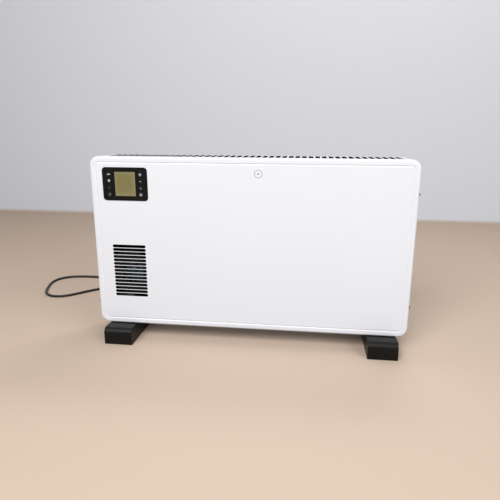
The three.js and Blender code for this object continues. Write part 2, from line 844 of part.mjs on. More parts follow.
function powerBoard() {
  const boardX = partitionX - fit - powerBoardStandoff - boardThickness;
  const y = powerBoardWidth / 2;
  const z0 = powerBoardBase;
  const z1 = powerBoardBase + powerBoardHeight;
  const posts = [z0 + bossInset, z1 - bossInset].flatMap((z) => [-1, 1].map((side) => (
    rodX(side * (y - bossInset), z, bossRadius, boardX + boardThickness / 2, partitionX - fit, 8)
  )));
  const boardBack = boardX + boardThickness / 2;
  const relays = row(relayCount, relayPitch, 0).map((dy) => box(
    boardX - relayDepth,
    boardBack,
    dy - relayWidth / 2,
    dy + relayWidth / 2,
    z0 + relayRise,
    z0 + relayRise + relayHeight,
  ));
  const transformer = box(
    boardX - transformerDepth,
    boardBack,
    transformerY - transformerWidth / 2,
    transformerY + transformerWidth / 2,
    z0 + transformerRise,
    z0 + transformerRise + transformerWidth,
  );
  const capacitorZ = z0 + transformerRise + transformerWidth / 2;
  const capacitor = rodX(capacitorY, capacitorZ, capacitorRadius, boardX - relayDepth, boardBack, 12);
  return solid(box(boardX, boardX + boardThickness, -y, y, z0, z1))
    .add(together([...posts, ...relays, transformer, capacitor]));
}

// An extruded aluminium bar with four fins round a core, and a rod through it.
function heatingElement(z) {
  const turn = Math.PI / 4;
  const arms = [0, 1].map((i) => {
    const arm = box(
      elementCentreX - elementLength / 2,
      elementCentreX + elementLength / 2,
      -elementArm,
      elementArm,
      -elementFin / 2,
      elementFin / 2,
    );
    return solid(arm.rotateX(turn + i * 2 * turn).translate(0, 0, z));
  });
  const reach = elementLength / 2 + elementRodReach;
  const end = elementLength / 2;
  const core = rodX(0, z, elementCore, elementCentreX - end, elementCentreX + end, 12);
  const rod = rodX(0, z, elementRodRadius, elementCentreX - reach, elementCentreX + reach, 12);
  return arms[0].add(arms[1]).add(solid(core)).add(solid(rod));
}

// A ceramic block in each bracket that carries both rods.
function insulatorBlock(side, spread) {
  const x = elementCentreX + side * bracketX;
  const reach = insulatorLength / 2 + spread;
  const half = insulatorWidth / 2 + spread;
  return box(x - reach, x + reach, -half, half, elementHeights[0] - half, elementHeights[1] + half);
}

function elementInsulator(side) {
  const x = elementCentreX + side * bracketX;
  const bores = elementHeights.map((z) => (
    rodX(0, z, elementRodRadius + fit, x - insulatorLength, x + insulatorLength, 12)
  ));
  return solid(insulatorBlock(side, 0)).subtract(together(bores));
}

function elementBracket(side) {
  const x = elementCentreX + side * bracketX;
  const wall = box(
    x - bracketThickness / 2,
    x + bracketThickness / 2,
    -bracketHalfDepth,
    bracketHalfDepth,
    floorOfCase,
    floorOfCase + bracketHeight,
  );
  const foot = box(
    Math.min(x, x + side * bracketFoot),
    Math.max(x, x + side * bracketFoot),
    -bracketHalfDepth,
    bracketHalfDepth,
    floorOfCase,
    floorOfCase + bracketThickness,
  );
  return solid(wall).add(solid(foot)).subtract(solid(insulatorBlock(side, fit)));
}

// A thin sheet in front of or behind the elements, its top edge turned outward.
function heatShield(side) {
  const inner = side * (bracketHalfDepth + fit);
  const outer = inner + side * shieldThickness;
  const flange = outer + side * shieldFlange;
  const x0 = elementCentreX - bracketX - bracketThickness;
  const x1 = elementCentreX + bracketX + bracketThickness;
  const z1 = shieldBottom + shieldHeight;
  const sorted = (a, b) => [Math.min(a, b), Math.max(a, b)];
  return solid(box(x0, x1, ...sorted(inner, outer), shieldBottom, z1))
    .add(solid(box(x0, x1, ...sorted(inner, flange), z1 - shieldThickness, z1)));
}

function thermalCutout() {
  const x = partitionX + sheet + fit;
  const z = bottom + cutoutRise;
  const half = cutoutRadius + cutoutEar;
  return solid(box(x, x + sheet, -half, half, z - cutoutRadius, z + cutoutRadius))
    .add(solid(rodX(0, z, cutoutRadius - 1, x, x + cutoutDepth, 16)));
}

function tipOverSwitch() {
  const x0 = tipSwitchX - tipSwitchWidth / 2;
  const x1 = tipSwitchX + tipSwitchWidth / 2;
  const y = tipSwitchDepth / 2;
  return solid(box(x0, x1, -y, y, floorOfCase, floorOfCase + tipSwitchHeight))
    .add(solid(box(x0 - tipSwitchEar, x1 + tipSwitchEar, -y / 2, y / 2, floorOfCase, floorOfCase + sheet)));
}

function terminalBlock() {
  const y1 = terminalFront + terminalDepth;
  const z0 = cordExitHeight - terminalHeight / 2;
  const x0 = cordExitX - terminalWidth / 2;
  const x1 = cordExitX + terminalWidth / 2;
  const wellZ = z0 + terminalHeight - terminalWellDepth;
  const wellY = terminalFront + terminalDepth / 2;
  const wells = row(3, terminalPitch, cordExitX).map((x) => (
    rodZ(x, wellY, terminalWellRadius, wellZ, z0 + terminalHeight + 1, 10)
  ));
  return solid(box(x0, x1, terminalFront, y1, z0, z0 + terminalHeight))
    .add(solid(box(x0 + terminalFootInset, x1 - terminalFootInset, terminalFront, y1, floorOfCase, z0 + 1)))
    .subtract(together(wells));
}

// ---- Main switch in the left side panel ----

const switchFaceX = -(bandSide + fit + mainSwitchFlange);
const rockerPivotX = switchFaceX + rockerPivotDepth;

function mainSwitchCutout() {
  const y = mainSwitchWidth / 2 + fit;
  const z = mainSwitchLength / 2 + fit;
  return box(-bodyWidth / 2, -splitX - 1, -y, y, mainSwitchHeight - z, mainSwitchHeight + z);
}

function mainSwitchHousing() {
  const y = mainSwitchWidth / 2;
  const z = mainSwitchLength / 2;
  const m = mainSwitchFlangeMargin;
  const flangeBack = switchFaceX + mainSwitchFlange;
  const wellY = rockerWidth / 2 + fit;
  const wellZ = z - sheet;
  const wellEnd = rockerPivotX + rockerHeel + 4;
  const h = mainSwitchHeight;
  return solid(box(switchFaceX, switchFaceX + mainSwitchDepth, -y, y, h - z, h + z))
    .add(solid(box(switchFaceX, flangeBack, -y - m, y + m, h - z - m, h + z + m)))
    .subtract(solid(box(switchFaceX - 1, wellEnd, -wellY, wellY, h - wellZ, h + wellZ)));
}

// The rocker rests with its upper end pressed in and its lower end proud, and tilts about Y.
function mainSwitchRocker() {
  const reach = rockerPivotDepth + rockerDish;
  const outline = polygon([
    [-reach, -rockerHalfLength],
    [-rockerPivotDepth, 0],
    [-reach, rockerHalfLength],
    [-rockerShoulder, rockerHalfLength],
    [rockerHeel, rockerHalfLength / 2],
    [rockerHeel, -rockerHalfLength / 2],
    [-rockerShoulder, -rockerHalfLength],
  ]);
  const geometry = plate(outline, -rockerWidth / 2, rockerWidth / 2);
  return solid(geometry.rotateY(THREE.MathUtils.degToRad(rockerTiltAngle)));
}

// ---- Feet ----

// A foot's outline in Y and Z, drawn in by the walls where it is the hollow.
function footOutline(wall, topWall) {
  const end = footLength / 2 - wall;
  const seat = floorClearance - fit - topWall;
  const lip = seat + footLipRise;
  const pad = seat + bandInset;
  const radius = footRound;
  const lipY = footLength / 2 - footLipSetback;
  const padFront = front + flangeDepth + fit;
  const low = wall > 0 ? -1 : 0;
  const shape = new THREE.Shape();
  shape.moveTo(end, low);
  shape.lineTo(end, lip - radius);
  shape.absarc(end - radius, lip - radius, radius, 0, Math.PI / 2);
  if (wall > 0) {
    shape.lineTo(-end + radius, lip);
  } else {
    shape.lineTo(lipY, lip);
    shape.lineTo(lipY, seat);
    shape.lineTo(back, seat);
    shape.lineTo(back, pad);
    shape.lineTo(padFront, pad);
    shape.lineTo(padFront, seat);
    shape.lineTo(-lipY, seat);
    shape.lineTo(-lipY, lip);
  }
  shape.absarc(-end + radius, lip - radius, radius, Math.PI / 2, Math.PI);
  shape.lineTo(-end, low);
  shape.closePath();
  return shape;
}

function footScrewPlaces(side) {
  return row(2, footScrewSpacing, 0).map((y) => [side * footCentreX, y]);
}

function foot(side) {
  const x0 = side * footCentreX - footWidth / 2;
  const x1 = x0 + footWidth;
  const hollow = bar(footOutline(footWall, footTopWall), x0 + footWall, x1 - footWall);
  const ribTop = floorClearance - 2 * fit - screwHeadHeight;
  const ribs = row(3, footScrewSpacing, 0).map((y) => box(
    x0 + footWall / 2,
    x1 - footWall / 2,
    y - footRibThickness / 2,
    y + footRibThickness / 2,
    ribTop - footRound,
    ribTop,
  ));
  const holes = footScrewPlaces(side).map(([x, y]) => (
    rodZ(x, y, screwShankRadius + screwHoleClearance, ribTop - 2 * footRound, top, 10)
  ));
  return solid(bar(footOutline(0, 0), x0, x1))
    .subtract(solid(hollow))
    .add(together(ribs))
    .subtract(together(holes));
}

function footScrew(x, y) {
  return panScrew(footScrewHeadRadius, screwHeadHeight, footScrewShankLength)
    .rotateX(Math.PI / 2)
    .translate(x, y, floorClearance - fit - footTopWall + footLipRise - fit);
}

// ---- Mains cord ----

function strainRelief() {
  const outside = back + fit;
  const profile = [
    [0, reliefStart],
    [reliefCollarRadius, reliefStart],
    [reliefCollarRadius, reliefStart + reliefNut],
    [reliefNeckRadius, reliefStart + reliefNut],
    [reliefNeckRadius, outside],
    [reliefCollarRadius, outside],
    [reliefCollarRadius, outside + reliefCollar],
    [reliefNeckRadius + 1, outside + reliefCollar + 1],
    [cordRadius + reliefTipWall, reliefEnd],
    [0, reliefEnd],
  ];
  const geometry = new THREE.LatheGeometry(profile.map(([x, y]) => new THREE.Vector2(x, y)), 16);
  return solid(geometry.translate(cordExitX, 0, cordExitHeight));
}

// The cord's last stretch inside, from the terminal block to the relief.
function innerLead() {
  const start = terminalFront + terminalDepth + fit;
  return rodY(cordExitX, cordExitHeight, cordRadius, start, reliefStart - fit, 12);
}

function roundTube(points, radius, sides, steps) {
  const route = new THREE.CatmullRomCurve3(points, false, 'centripetal');
  const section = new THREE.Shape();
  section.absarc(0, 0, radius, 0, 2 * Math.PI);
  return new THREE.ExtrudeGeometry(section, { steps, extrudePath: route, curveSegments: sides / 2 });
}

// The cord's free stretch: out of the relief, down to the floor, out to the left and back to the coil.
function cordPoints() {
  const z = cordOnFloor;
  const points = [
    [cordExitX, reliefEnd + fit, cordExitHeight],
    [-335, 111, 79],
    [-337, 128, 73],
    [-341, 145, 61],
    [-347, 161, 45],
    [-355, 177, 29],
    [-366, 193, 15],
    [-381, 210, 6.5],
    [-400, 228, z],
    [-422, 247, z],
    [-447, 266, z],
    [-474, 281, z],
    [-502, 288, z],
    [-528, 282, z],
    [-549, 266, z],
    [-571, 243, z],
    [-589, 224, z],
    [-608, 206, z],
    [-632, 194, z],
    [-660, 195, z],
    [-684, 211, z],
    [-701, 239, z],
    [-713, 271, z],
    [-723, 305, z],
    [-725, 338, z],
    [-713, 367, z],
    [-688, 386, z],
    [-655, 394, z],
    [-618, 396, z],
    [-580, 396, z],
    [-542, 396, z],
    [-508, coilCentreY + coilOuterRadius, coilLowerZ],
    [coilCentreX - cordDiameter - fit, coilCentreY + coilOuterRadius, coilLowerZ],
  ];
  return points.map(([x, y, height]) => new THREE.Vector3(x, y, height));
}

// The coil spirals in on the floor layer, climbs where the spiral turns back, and spirals out on top.
function coilPoints() {
  const turns = 2 * coilTurnsPerLayer + coilClimbTurns;
  const steps = Math.round(turns * coilStepsPerTurn);
  const startY = coilCentreY + coilOuterRadius;
  const points = [new THREE.Vector3(coilCentreX - cordDiameter, startY, coilLowerZ)];
  for (let i = 0; i <= steps; i += 1) {
    const turned = (turns * i) / steps;
    const climb = THREE.MathUtils.clamp((turned - coilTurnsPerLayer) / coilClimbTurns, 0, 1);
    const radius = coilOuterRadius - coilTurnPitch * Math.min(turned, turns - turned);
    const angle = Math.PI / 2 - 2 * Math.PI * turned;
    points.push(new THREE.Vector3(
      coilCentreX + radius * Math.cos(angle),
      coilCentreY + radius * Math.sin(angle),
      coilLowerZ + climb * (coilUpperZ - coilLowerZ),
    ));
  }
  const tailSteps = 5;
  for (let i = 1; i <= tailSteps; i += 1) {
    const rise = THREE.MathUtils.smoothstep(i / tailSteps, 0, 1);
    const height = THREE.MathUtils.lerp(coilUpperZ, plugAxisZ, rise);
    points.push(new THREE.Vector3(coilCentreX + (coilTailLength * i) / tailSteps, startY, height));
  }
  points.push(new THREE.Vector3(coilCentreX + coilTailLength + cordDiameter, startY, plugAxisZ));
  return points;
}

// A closed tube through every given point, each ring square to the route there.
function wovenTube(points, radius, sides) {
  const positions = [];
  const index = [];
  const up = new THREE.Vector3(0, 0, 1);
  points.forEach((point, i) => {
    const before = points[Math.max(i - 1, 0)];
    const after = points[Math.min(i + 1, points.length - 1)];
    const along = new THREE.Vector3().subVectors(after, before).normalize();
    const across = new THREE.Vector3().crossVectors(along, up).normalize();
    const over = new THREE.Vector3().crossVectors(across, along);
    for (let k = 0; k < sides; k += 1) {
      const angle = (2 * Math.PI * k) / sides;
      const corner = point.clone()
        .addScaledVector(across, radius * Math.cos(angle))
        .addScaledVector(over, radius * Math.sin(angle));
      positions.push(corner.x, corner.y, corner.z);
    }
  });
  for (let i = 0; i < points.length - 1; i += 1) {
    for (let k = 0; k < sides; k += 1) {
      const a = i * sides + k;
      const b = i * sides + ((k + 1) % sides);
      index.push(a, a + sides, b, b, a + sides, b + sides);
    }
  }
  const last = (points.length - 1) * sides;
  for (let k = 1; k < sides - 1; k += 1) {
    index.push(0, k, k + 1);
    index.push(last, last + k + 1, last + k);
  }
  const geometry = new THREE.BufferGeometry();
  geometry.setAttribute('position', new THREE.Float32BufferAttribute(positions, 3));
  geometry.setIndex(index);
  geometry.computeVertexNormals();
  return geometry;
}

// The least gap between turns: points further apart along the cord than three diameters.
function leastCoilGap(points) {
  const route = new THREE.CatmullRomCurve3(points, false, 'centripetal');
  const length = route.getLength();
  const samples = route.getSpacedPoints(Math.ceil(length / 1.5));
  const apart = Math.ceil((3 * cordDiameter) / 1.5);
  let least = Infinity;
  for (let i = 0; i < samples.length; i += 1) {
    for (let j = i + apart; j < samples.length; j += 1) {
      least = Math.min(least, samples[i].distanceTo(samples[j]) - cordDiameter);
    }
  }
  return least;
}

// A strap round the coil's turns on the side away from the lead-in.
function cordTie() {
  const outerTurn = coilCentreY - coilOuterRadius + coilTurnPitch / 2;
  const innerTurn = outerTurn + coilTurnPitch;
  const y0 = outerTurn - cordRadius - fit;
  const y1 = innerTurn + cordRadius + fit;
  const z0 = coilBottom - fit;
  const z1 = coilUpperZ + cordRadius + fit;
  const t = tieThickness;
  const x0 = coilCentreX - tieWidth / 2;
  const x1 = coilCentreX + tieWidth / 2;
  return solid(box(x0, x1, y0 - t, y1 + t, z0 - t, z1 + t))
    .subtract(solid(box(x0 - 1, x1 + 1, y0, y1, z0, z1)));
}

const plugStart = coilCentreX + coilTailLength + cordDiameter + fit;
const plugY = coilCentreY + coilOuterRadius;

function plugBody() {
  const profile = [
    [0, 0],
    [cordRadius + 1, 0],
    [plugReliefRadius, plugReliefLength],
    [plugGripRadius, plugReliefLength + 1.5],
    [plugGripRadius + 2, plugReliefLength + plugLength * 0.4],
    [plugRadius, plugReliefLength + plugLength * 0.62],
    [plugRadius, plugReliefLength + plugLength],
    [0, plugReliefLength + plugLength],
  ];
  const geometry = new THREE.LatheGeometry(profile.map(([x, y]) => new THREE.Vector2(x, y)), 20);
  return solid(geometry.rotateZ(-Math.PI / 2).translate(plugStart, plugY, plugAxisZ));
}

// The two pins on the disc that carries them.
function plugPins() {
  const x0 = plugStart + plugReliefLength + plugLength + fit;
  const x1 = x0 + pinPlate;
  return solid(rodX(plugY, plugAxisZ, plugRadius - 2, x0, x1, 20))
    .add(together(row(2, pinSpacing, plugY).map((y) => (
      rodX(y, plugAxisZ, pinRadius, x0 + pinPlate / 2, x1 + pinLength, 12)
    ))));
}

// ---- The assembly ----

addPart('front_panel', frontPanel(), white);
addPart('top_grille', topGrille(), white);
addPart('bottom_plate', bottomPlate(), whiteBack);
addPart('side_panel_left', sidePanel(-1), white);
addPart('side_panel_right', sidePanel(1), white);
addPart('rear_panel', rearPanel(), whiteBack);
leftScrewHeights.forEach((height, i) => {
  addPart(`side_screw_left_${i + 1}`, sideScrew(-1, height), screwBlack);
});
rightScrewHeights.forEach((height, i) => {
  addPart(`side_screw_right_${i + 1}`, sideScrew(1, height), screwBlack);
});
rearScrewPlaces().forEach(([x, z], i) => addPart(`rear_screw_${i + 1}`, rearScrew(x, z), screwBlack));

addPart('control_bezel', controlBezel(), glossBlack);
addPart('display_lens', displayLens(), displayOlive);
addPart('display_module', displayModule(), displayOlive);
addPart('control_board', controlBoard(), boardGreen);
const keyNames = [
  ['key_minus', 'key_down', 'key_swing', 'key_timer'],
  ['key_plus', 'key_set', 'key_up', 'key_power'],
];
keyNames.forEach((column, c) => column.forEach((name, r) => {
  addPart(name, controlKey(...keyPlaces()[c][r]), glossBlack);
}));

addPart('fan_cover', fanCover(), mattBlack);
addPart('fan_housing', fanHousing(), mattBlack);
addPart('fan_impeller', fanImpeller(), tealPlastic);
addPart('fan_shaft', fanShaft(), steel);
addPart('fan_motor', fanMotor(), steel);

addPart('partition_plate', partitionPlate(), steel);
addPart('power_board', powerBoard(), boardGreen);
addPart('heating_element_lower', heatingElement(elementHeights[0]), aluminium);
addPart('heating_element_upper', heatingElement(elementHeights[1]), aluminium);
addPart('element_insulator_left', elementInsulator(-1), ceramic);
addPart('element_insulator_right', elementInsulator(1), ceramic);
addPart('element_bracket_left', elementBracket(-1), steel);
addPart('element_bracket_right', elementBracket(1), steel);
addPart('heat_shield_front', heatShield(-1), steel);
addPart('heat_shield_rear', heatShield(1), steel);
addPart('thermal_cutout', thermalCutout(), steel);
addPart('tip_over_switch', tipOverSwitch(), mattBlack);
addPart('terminal_block', terminalBlock(), ceramic);
addPart('main_switch_housing', mainSwitchHousing(), mattBlack);
addPart('main_switch_rocker', mainSwitchRocker(), mattBlack).position.set(rockerPivotX, 0, mainSwitchHeight);

addPart('foot_left', foot(-1), mattBlack);
addPart('foot_right', foot(1), mattBlack);
footScrewPlaces(-1).forEach(([x, y], i) => addPart(`foot_screw_left_${i + 1}`, footScrew(x, y), screwBlack));
footScrewPlaces(1).forEach(([x, y], i) => addPart(`foot_screw_right_${i + 1}`, footScrew(x, y), screwBlack));

addPart('strain_relief', strainRelief(), mattBlack);
addPart('inner_lead', innerLead(), cordBlack);
const freeRoute = cordPoints();
const freeLength = new THREE.CatmullRomCurve3(freeRoute, false, 'centripetal').getLength();
const freeSteps = Math.round(freeLength / cordStepLength);
addPart('power_cord', roundTube(freeRoute, cordRadius, cordSides, freeSteps), cordBlack);
const coilRoute = coilPoints();
const coilLength = new THREE.CatmullRomCurve3(coilRoute, false, 'centripetal').getLength();
addPart('cord_coil', wovenTube(coilRoute, cordRadius, coilSides), cordBlack);
addPart('cord_tie', cordTie(), mattBlack);
addPart('plug_body', plugBody(), cordBlack);
addPart('plug_pins', plugPins(), brass);

console.log(`free cord ${freeLength.toFixed(1)} mm, coil ${coilLength.toFixed(1)} mm`);
console.log(`least gap between the coil's turns ${leastCoilGap(coilRoute).toFixed(2)} mm`);

export default heater;
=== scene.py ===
import math

import bmesh
import bpy
from mathutils import Matrix, Vector


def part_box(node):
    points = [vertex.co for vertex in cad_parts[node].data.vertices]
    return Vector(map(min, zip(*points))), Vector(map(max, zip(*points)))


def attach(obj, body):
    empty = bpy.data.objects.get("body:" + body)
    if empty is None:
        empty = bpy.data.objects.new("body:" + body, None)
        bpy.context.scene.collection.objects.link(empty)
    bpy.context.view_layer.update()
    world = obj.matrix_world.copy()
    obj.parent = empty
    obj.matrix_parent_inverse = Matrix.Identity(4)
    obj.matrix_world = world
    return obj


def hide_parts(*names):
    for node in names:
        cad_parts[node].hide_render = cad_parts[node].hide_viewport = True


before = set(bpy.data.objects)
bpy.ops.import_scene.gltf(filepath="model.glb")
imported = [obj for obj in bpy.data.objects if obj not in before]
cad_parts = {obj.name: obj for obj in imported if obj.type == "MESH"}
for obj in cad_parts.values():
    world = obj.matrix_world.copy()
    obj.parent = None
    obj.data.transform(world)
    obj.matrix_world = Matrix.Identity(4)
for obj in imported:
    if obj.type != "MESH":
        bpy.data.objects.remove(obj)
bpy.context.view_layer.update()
mm = 0.001  # lengths below are written as so many millimetres
beyond = 2  # how far a cutter reaches past the face it cuts
sides = {"left": -1, "right": 1}
print("frame loaded:", len(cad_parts), "nodes")

# small hands for working as in the viewport


def clearSelection():
    if bpy.context.mode != "OBJECT":
        bpy.ops.object.mode_set(mode="OBJECT")
    bpy.ops.object.select_all(action="DESELECT")


def pickObject(piece):
    clearSelection()
    piece.select_set(True)
    bpy.context.view_layer.objects.active = piece


def nameNew(name):
    piece = bpy.context.active_object
    piece.name = piece.data.name = name
    return piece


def startBlock(name, low, high, axis=None, corner=0, steps=4):
    # a box; the edges along the axis can be rounded at once
    clearSelection()
    low, high = Vector(low) * mm, Vector(high) * mm
    bpy.ops.mesh.primitive_cube_add(size=1, location=(low + high) / 2)
    piece = nameNew(name)
    piece.scale = high - low
    bpy.ops.object.transform_apply(location=True, rotation=True, scale=True)
    if axis is not None:
        bevelEdges(piece, alongAxis(axis), corner, steps)
    return piece


def startRod(name, centre, radius, length, axis="Z", steps=32):
    clearSelection()
    turns = {"X": (0, math.pi / 2, 0), "Y": (math.pi / 2, 0, 0), "Z": (0, 0, 0)}
    bpy.ops.mesh.primitive_cylinder_add(
        vertices=steps, radius=radius * mm, depth=length * mm, location=Vector(centre) * mm, rotation=turns[axis]
    )
    piece = nameNew(name)
    bpy.ops.object.transform_apply(location=True, rotation=True, scale=True)
    return piece


def enterEdit(piece, kind="VERT", action="SELECT"):
    pickObject(piece)
    bpy.ops.object.mode_set(mode="EDIT")
    bpy.ops.mesh.select_mode(type=kind)
    bpy.ops.mesh.select_all(action=action)


def editSelect(piece, kind, test):
    # leaves the piece in edit mode with whatever passes the test selected
    enterEdit(piece, kind, "DESELECT")
    shape = bmesh.from_edit_mesh(piece.data)
    parts = {"VERT": shape.verts, "EDGE": shape.edges, "FACE": shape.faces}[kind]
    for part in parts:
        if test(part):
            part.select_set(True)
    bmesh.update_edit_mesh(piece.data)


def leaveEdit():
    bpy.ops.object.mode_set(mode="OBJECT")


def selectAll():
    bpy.ops.mesh.select_all(action="SELECT")


def closeShape():
    # turns every face outwards and leaves edit mode
    selectAll()
    bpy.ops.mesh.normals_make_consistent(inside=False)
    leaveEdit()


def insetFaces(width, depth=0):
    bpy.ops.mesh.inset(thickness=width * mm, depth=depth * mm)


def middleOf(face):
    return face.calc_center_median() / mm


def alongAxis(axis):
    others = [i for i in range(3) if i != axis]
    return lambda edge: all(abs(edge.verts[0].co[i] - edge.verts[1].co[i]) < 1e-6 for i in others)


def atLevel(axis, level):
    return lambda part: all(abs(v.co[axis] - level * mm) < 1e-6 for v in part.verts)


def bevelEdges(piece, test, width, segments):
    editSelect(piece, "EDGE", test)
    bpy.ops.mesh.bevel(offset=width * mm, segments=segments, affect="EDGES", clamp_overlap=True)
    leaveEdit()


def applyModifier(piece, kind, **settings):
    pickObject(piece)
    modifier = piece.modifiers.new("work", kind)
    for key, value in settings.items():
        setattr(modifier, key, value)
    bpy.ops.object.modifier_apply(modifier="work")


def joinPieces(pieces):
    clearSelection()
    for piece in pieces:
        piece.select_set(True)
    bpy.context.view_layer.objects.active = pieces[0]
    bpy.ops.object.join()
    return pieces[0]


def copyPiece(piece, name, matrix=None):
    twin = piece.copy()
    twin.data = piece.data.copy()
    twin.name = twin.data.name = name
    bpy.context.collection.objects.link(twin)
    if matrix is not None:
        twin.data.transform(matrix)
    return twin


def moveTo(x, y, z):
    return Matrix.Translation(Vector((x, y, z)) * mm)


def turnBy(degrees, axis):
    return Matrix.Rotation(math.radians(degrees), 4, axis)


def boxInMm(node):
    return [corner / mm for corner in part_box(node)]


def cutAway(piece, cutter, operation="DIFFERENCE"):
    applyModifier(piece, "BOOLEAN", operation=operation, solver="EXACT", object=cutter)
    bpy.data.objects.remove(cutter)


def cutBlock(piece, low, high, *rounding):
    cutAway(piece, startBlock("cutter", low, high, *rounding))


def drill(piece, centre, radius, length=9, axis="Y", steps=40):
    cutAway(piece, startRod("cutter", centre, radius, length, axis, steps))


def cutFlat(piece, axis, level, keepAbove):
    enterEdit(piece)
    point, normal = [0.0] * 3, [0.0] * 3
    point[axis], normal[axis] = level * mm, 1.0
    bpy.ops.mesh.bisect(
        plane_co=point, plane_no=normal, use_fill=True, clear_inner=keepAbove, clear_outer=not keepAbove
    )
    leaveEdit()


def drawLine(name, points, y=0):
    # a line through (x, z) points, left in edit mode with all of it selected
    clearSelection()
    bpy.ops.mesh.primitive_plane_add(size=mm, location=(0, 0, 0))
    piece = nameNew(name)
    enterEdit(piece)
    bpy.ops.mesh.merge(type="CENTER")
    bpy.ops.transform.translate(value=(points[0][0] * mm, y * mm, points[0][1] * mm))
    for (x0, z0), (x1, z1) in zip(points, points[1:]):
        step = ((x1 - x0) * mm, 0, (z1 - z0) * mm)
        bpy.ops.mesh.extrude_vertices_move(TRANSFORM_OT_translate={"value": step})
    selectAll()
    return piece


def turnProfile(name, points, matrix, steps=48):
    # spins a line of (radius, height) points once round Z, then puts it in place
    piece = drawLine(name, points)
    bpy.ops.mesh.spin(steps=steps, angle=2 * math.pi, center=(0, 0, 0), axis=(0, 0, 1))
    selectAll()
    bpy.ops.mesh.remove_doubles(threshold=0.005 * mm)
    closeShape()
    piece.data.transform(matrix)
    return piece


def ringOutline(inner, outer, deep):
    return [(inner, 0), (outer, 0), (outer, deep), (inner, deep), (inner, 0)]


def shadeFaces(piece, finish, test):
    # gives the faces that pass the test a second finish
    piece.data.materials.append(materials[finish])
    editSelect(piece, "FACE", test)
    piece.active_material_index = len(piece.data.materials) - 1
    bpy.ops.object.material_slot_assign()
    leaveEdit()


def paint(piece, finish):
    piece.data.materials.clear()
    piece.data.materials.append(materials[finish])


def finishPiece(piece, finish, *nodes, body="casing", angle=32):
    # the piece stands for the nodes and moves with the body
    pickObject(piece)
    bpy.ops.object.shade_smooth_by_angle(angle=math.radians(angle))
    applyModifier(piece, "WEIGHTED_NORMAL", keep_sharp=True, weight=90)
    paint(piece, finish)
    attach(piece, body)
    if nodes:
        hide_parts(*nodes)
    return piece


# the camera stands where the photograph was taken from

cameraSettings = {
    "place": (0.1335, -1.1322, 0.5301), "yaw": -6.9, "pitch": 14.365, "roll": 0.195, "lens": 34.083,
    "sensor": 36, "shiftY": -0.0078,
}


def makeCamera(settings):
    clearSelection()
    bpy.ops.object.camera_add(location=settings["place"])
    camera = nameNew("viewpoint")
    turn = turnBy(-settings["yaw"], "Z") @ turnBy(90 - settings["pitch"], "X") @ turnBy(settings["roll"], "Z")
    camera.rotation_euler = turn.to_euler()
    camera.data.lens = settings["lens"]
    camera.data.sensor_width = settings["sensor"]
    camera.data.shift_y = settings["shiftY"]
    bpy.context.scene.camera = camera


makeCamera(cameraSettings)
print("camera placed")

# effects that several finishes share


def newGroup(name, inputs, outputs):
    group = bpy.data.node_groups.new(name, "ShaderNodeTree")
    for label, value in inputs.items():
        kind = "NodeSocketColor" if isinstance(value, tuple) else "NodeSocketFloat"
        group.interface.new_socket(label, in_out="INPUT", socket_type=kind).default_value = value
    for label in outputs:
        kind = "NodeSocketColor" if label == "Color" else "NodeSocketFloat"
        group.interface.new_socket(label, in_out="OUTPUT", socket_type=kind)
    return group, group.nodes.new("NodeGroupInput").outputs, group.nodes.new("NodeGroupOutput").inputs


def feed(socket, value):
    if isinstance(value, bpy.types.NodeSocket):
        socket.id_data.links.new(value, socket)
    else:
        socket.default_value = value


def addNode(tree, kind, values=None, **settings):
    # the values go by the label or the number of an input
    node = tree.nodes.new("ShaderNode" + kind)
    for key, value in settings.items():
        setattr(node, key, value)
    for label, value in (values or {}).items():
        feed(node.inputs[label], value)
    return node


def mathNode(operation, first, second=0.0, clamp=False):
    values = {0: first, 1: second}
    return addNode(first.id_data, "Math", values, operation=operation, use_clamp=clamp).outputs[0]


def mixColours(share, first, second):
    return addNode(share.id_data, "Mix", {0: share, 6: first, 7: second}, data_type="RGBA").outputs[2]


def objectPlace(tree):
    return addNode(tree, "TexCoord").outputs["Object"]


def noiseOn(coordinates, scale, detail=3.0, stretch=(1, 1, 1)):
    tree = coordinates.id_data
    mapping = addNode(tree, "Mapping", {"Vector": coordinates, "Scale": stretch})
    values = {"Vector": mapping.outputs[0], "Scale": scale, "Detail": detail}
    return addNode(tree, "TexNoise", values).outputs["Fac"]


def spreadOf(value, low, high, outLow=0.0, outHigh=1.0):
    values = dict(enumerate((value, low, high, outLow, outHigh)))
    return addNode(value.id_data, "MapRange", values).outputs[0]


dustSettings = {"scale": 420.0, "speckle": (0.45, 0.75, 0.25, 1.0), "upward": (0.2, 1.0)}


def makeUnevenTint(fleck):
    # a slow drift of colour and gloss, with fine dust where a surface looks up
    group, given, result = newGroup("unevenTint", {
        "Base": (0.8, 0.8, 0.8, 1), "Dust": (0.42, 0.4, 0.38, 1), "Drift": 0.04, "DustShare": 0.1,
        "Gloss": 0.4, "GlossDrift": 0.06, "Scale": 9.0,
    }, ["Color", "Roughness"])
    place = objectPlace(group)
    broad = noiseOn(place, given["Scale"], detail=2.0)
    fine = noiseOn(place, fleck["scale"], detail=4.0)
    facing = addNode(group, "SeparateXYZ", {0: addNode(group, "NewGeometry").outputs["Normal"]})
    upward = spreadOf(facing.outputs["Z"], *fleck["upward"])
    darker = mathNode("MULTIPLY", spreadOf(broad, 0.3, 0.7), given["Drift"])
    tinted = mixColours(darker, given["Base"], (0.0, 0.0, 0.0, 1))
    speckle = mathNode("MULTIPLY", upward, spreadOf(fine, *fleck["speckle"]))
    dust = mathNode("MULTIPLY", speckle, given["DustShare"])
    wander = mathNode("MULTIPLY", mathNode("SUBTRACT", broad, 0.5), given["GlossDrift"])
    rough = mathNode("ADD", mathNode("ADD", given["Gloss"], wander), dust, clamp=True)
    feed(result["Color"], mixColours(dust, tinted, given["Dust"]))
    feed(result["Roughness"], rough)
    return group


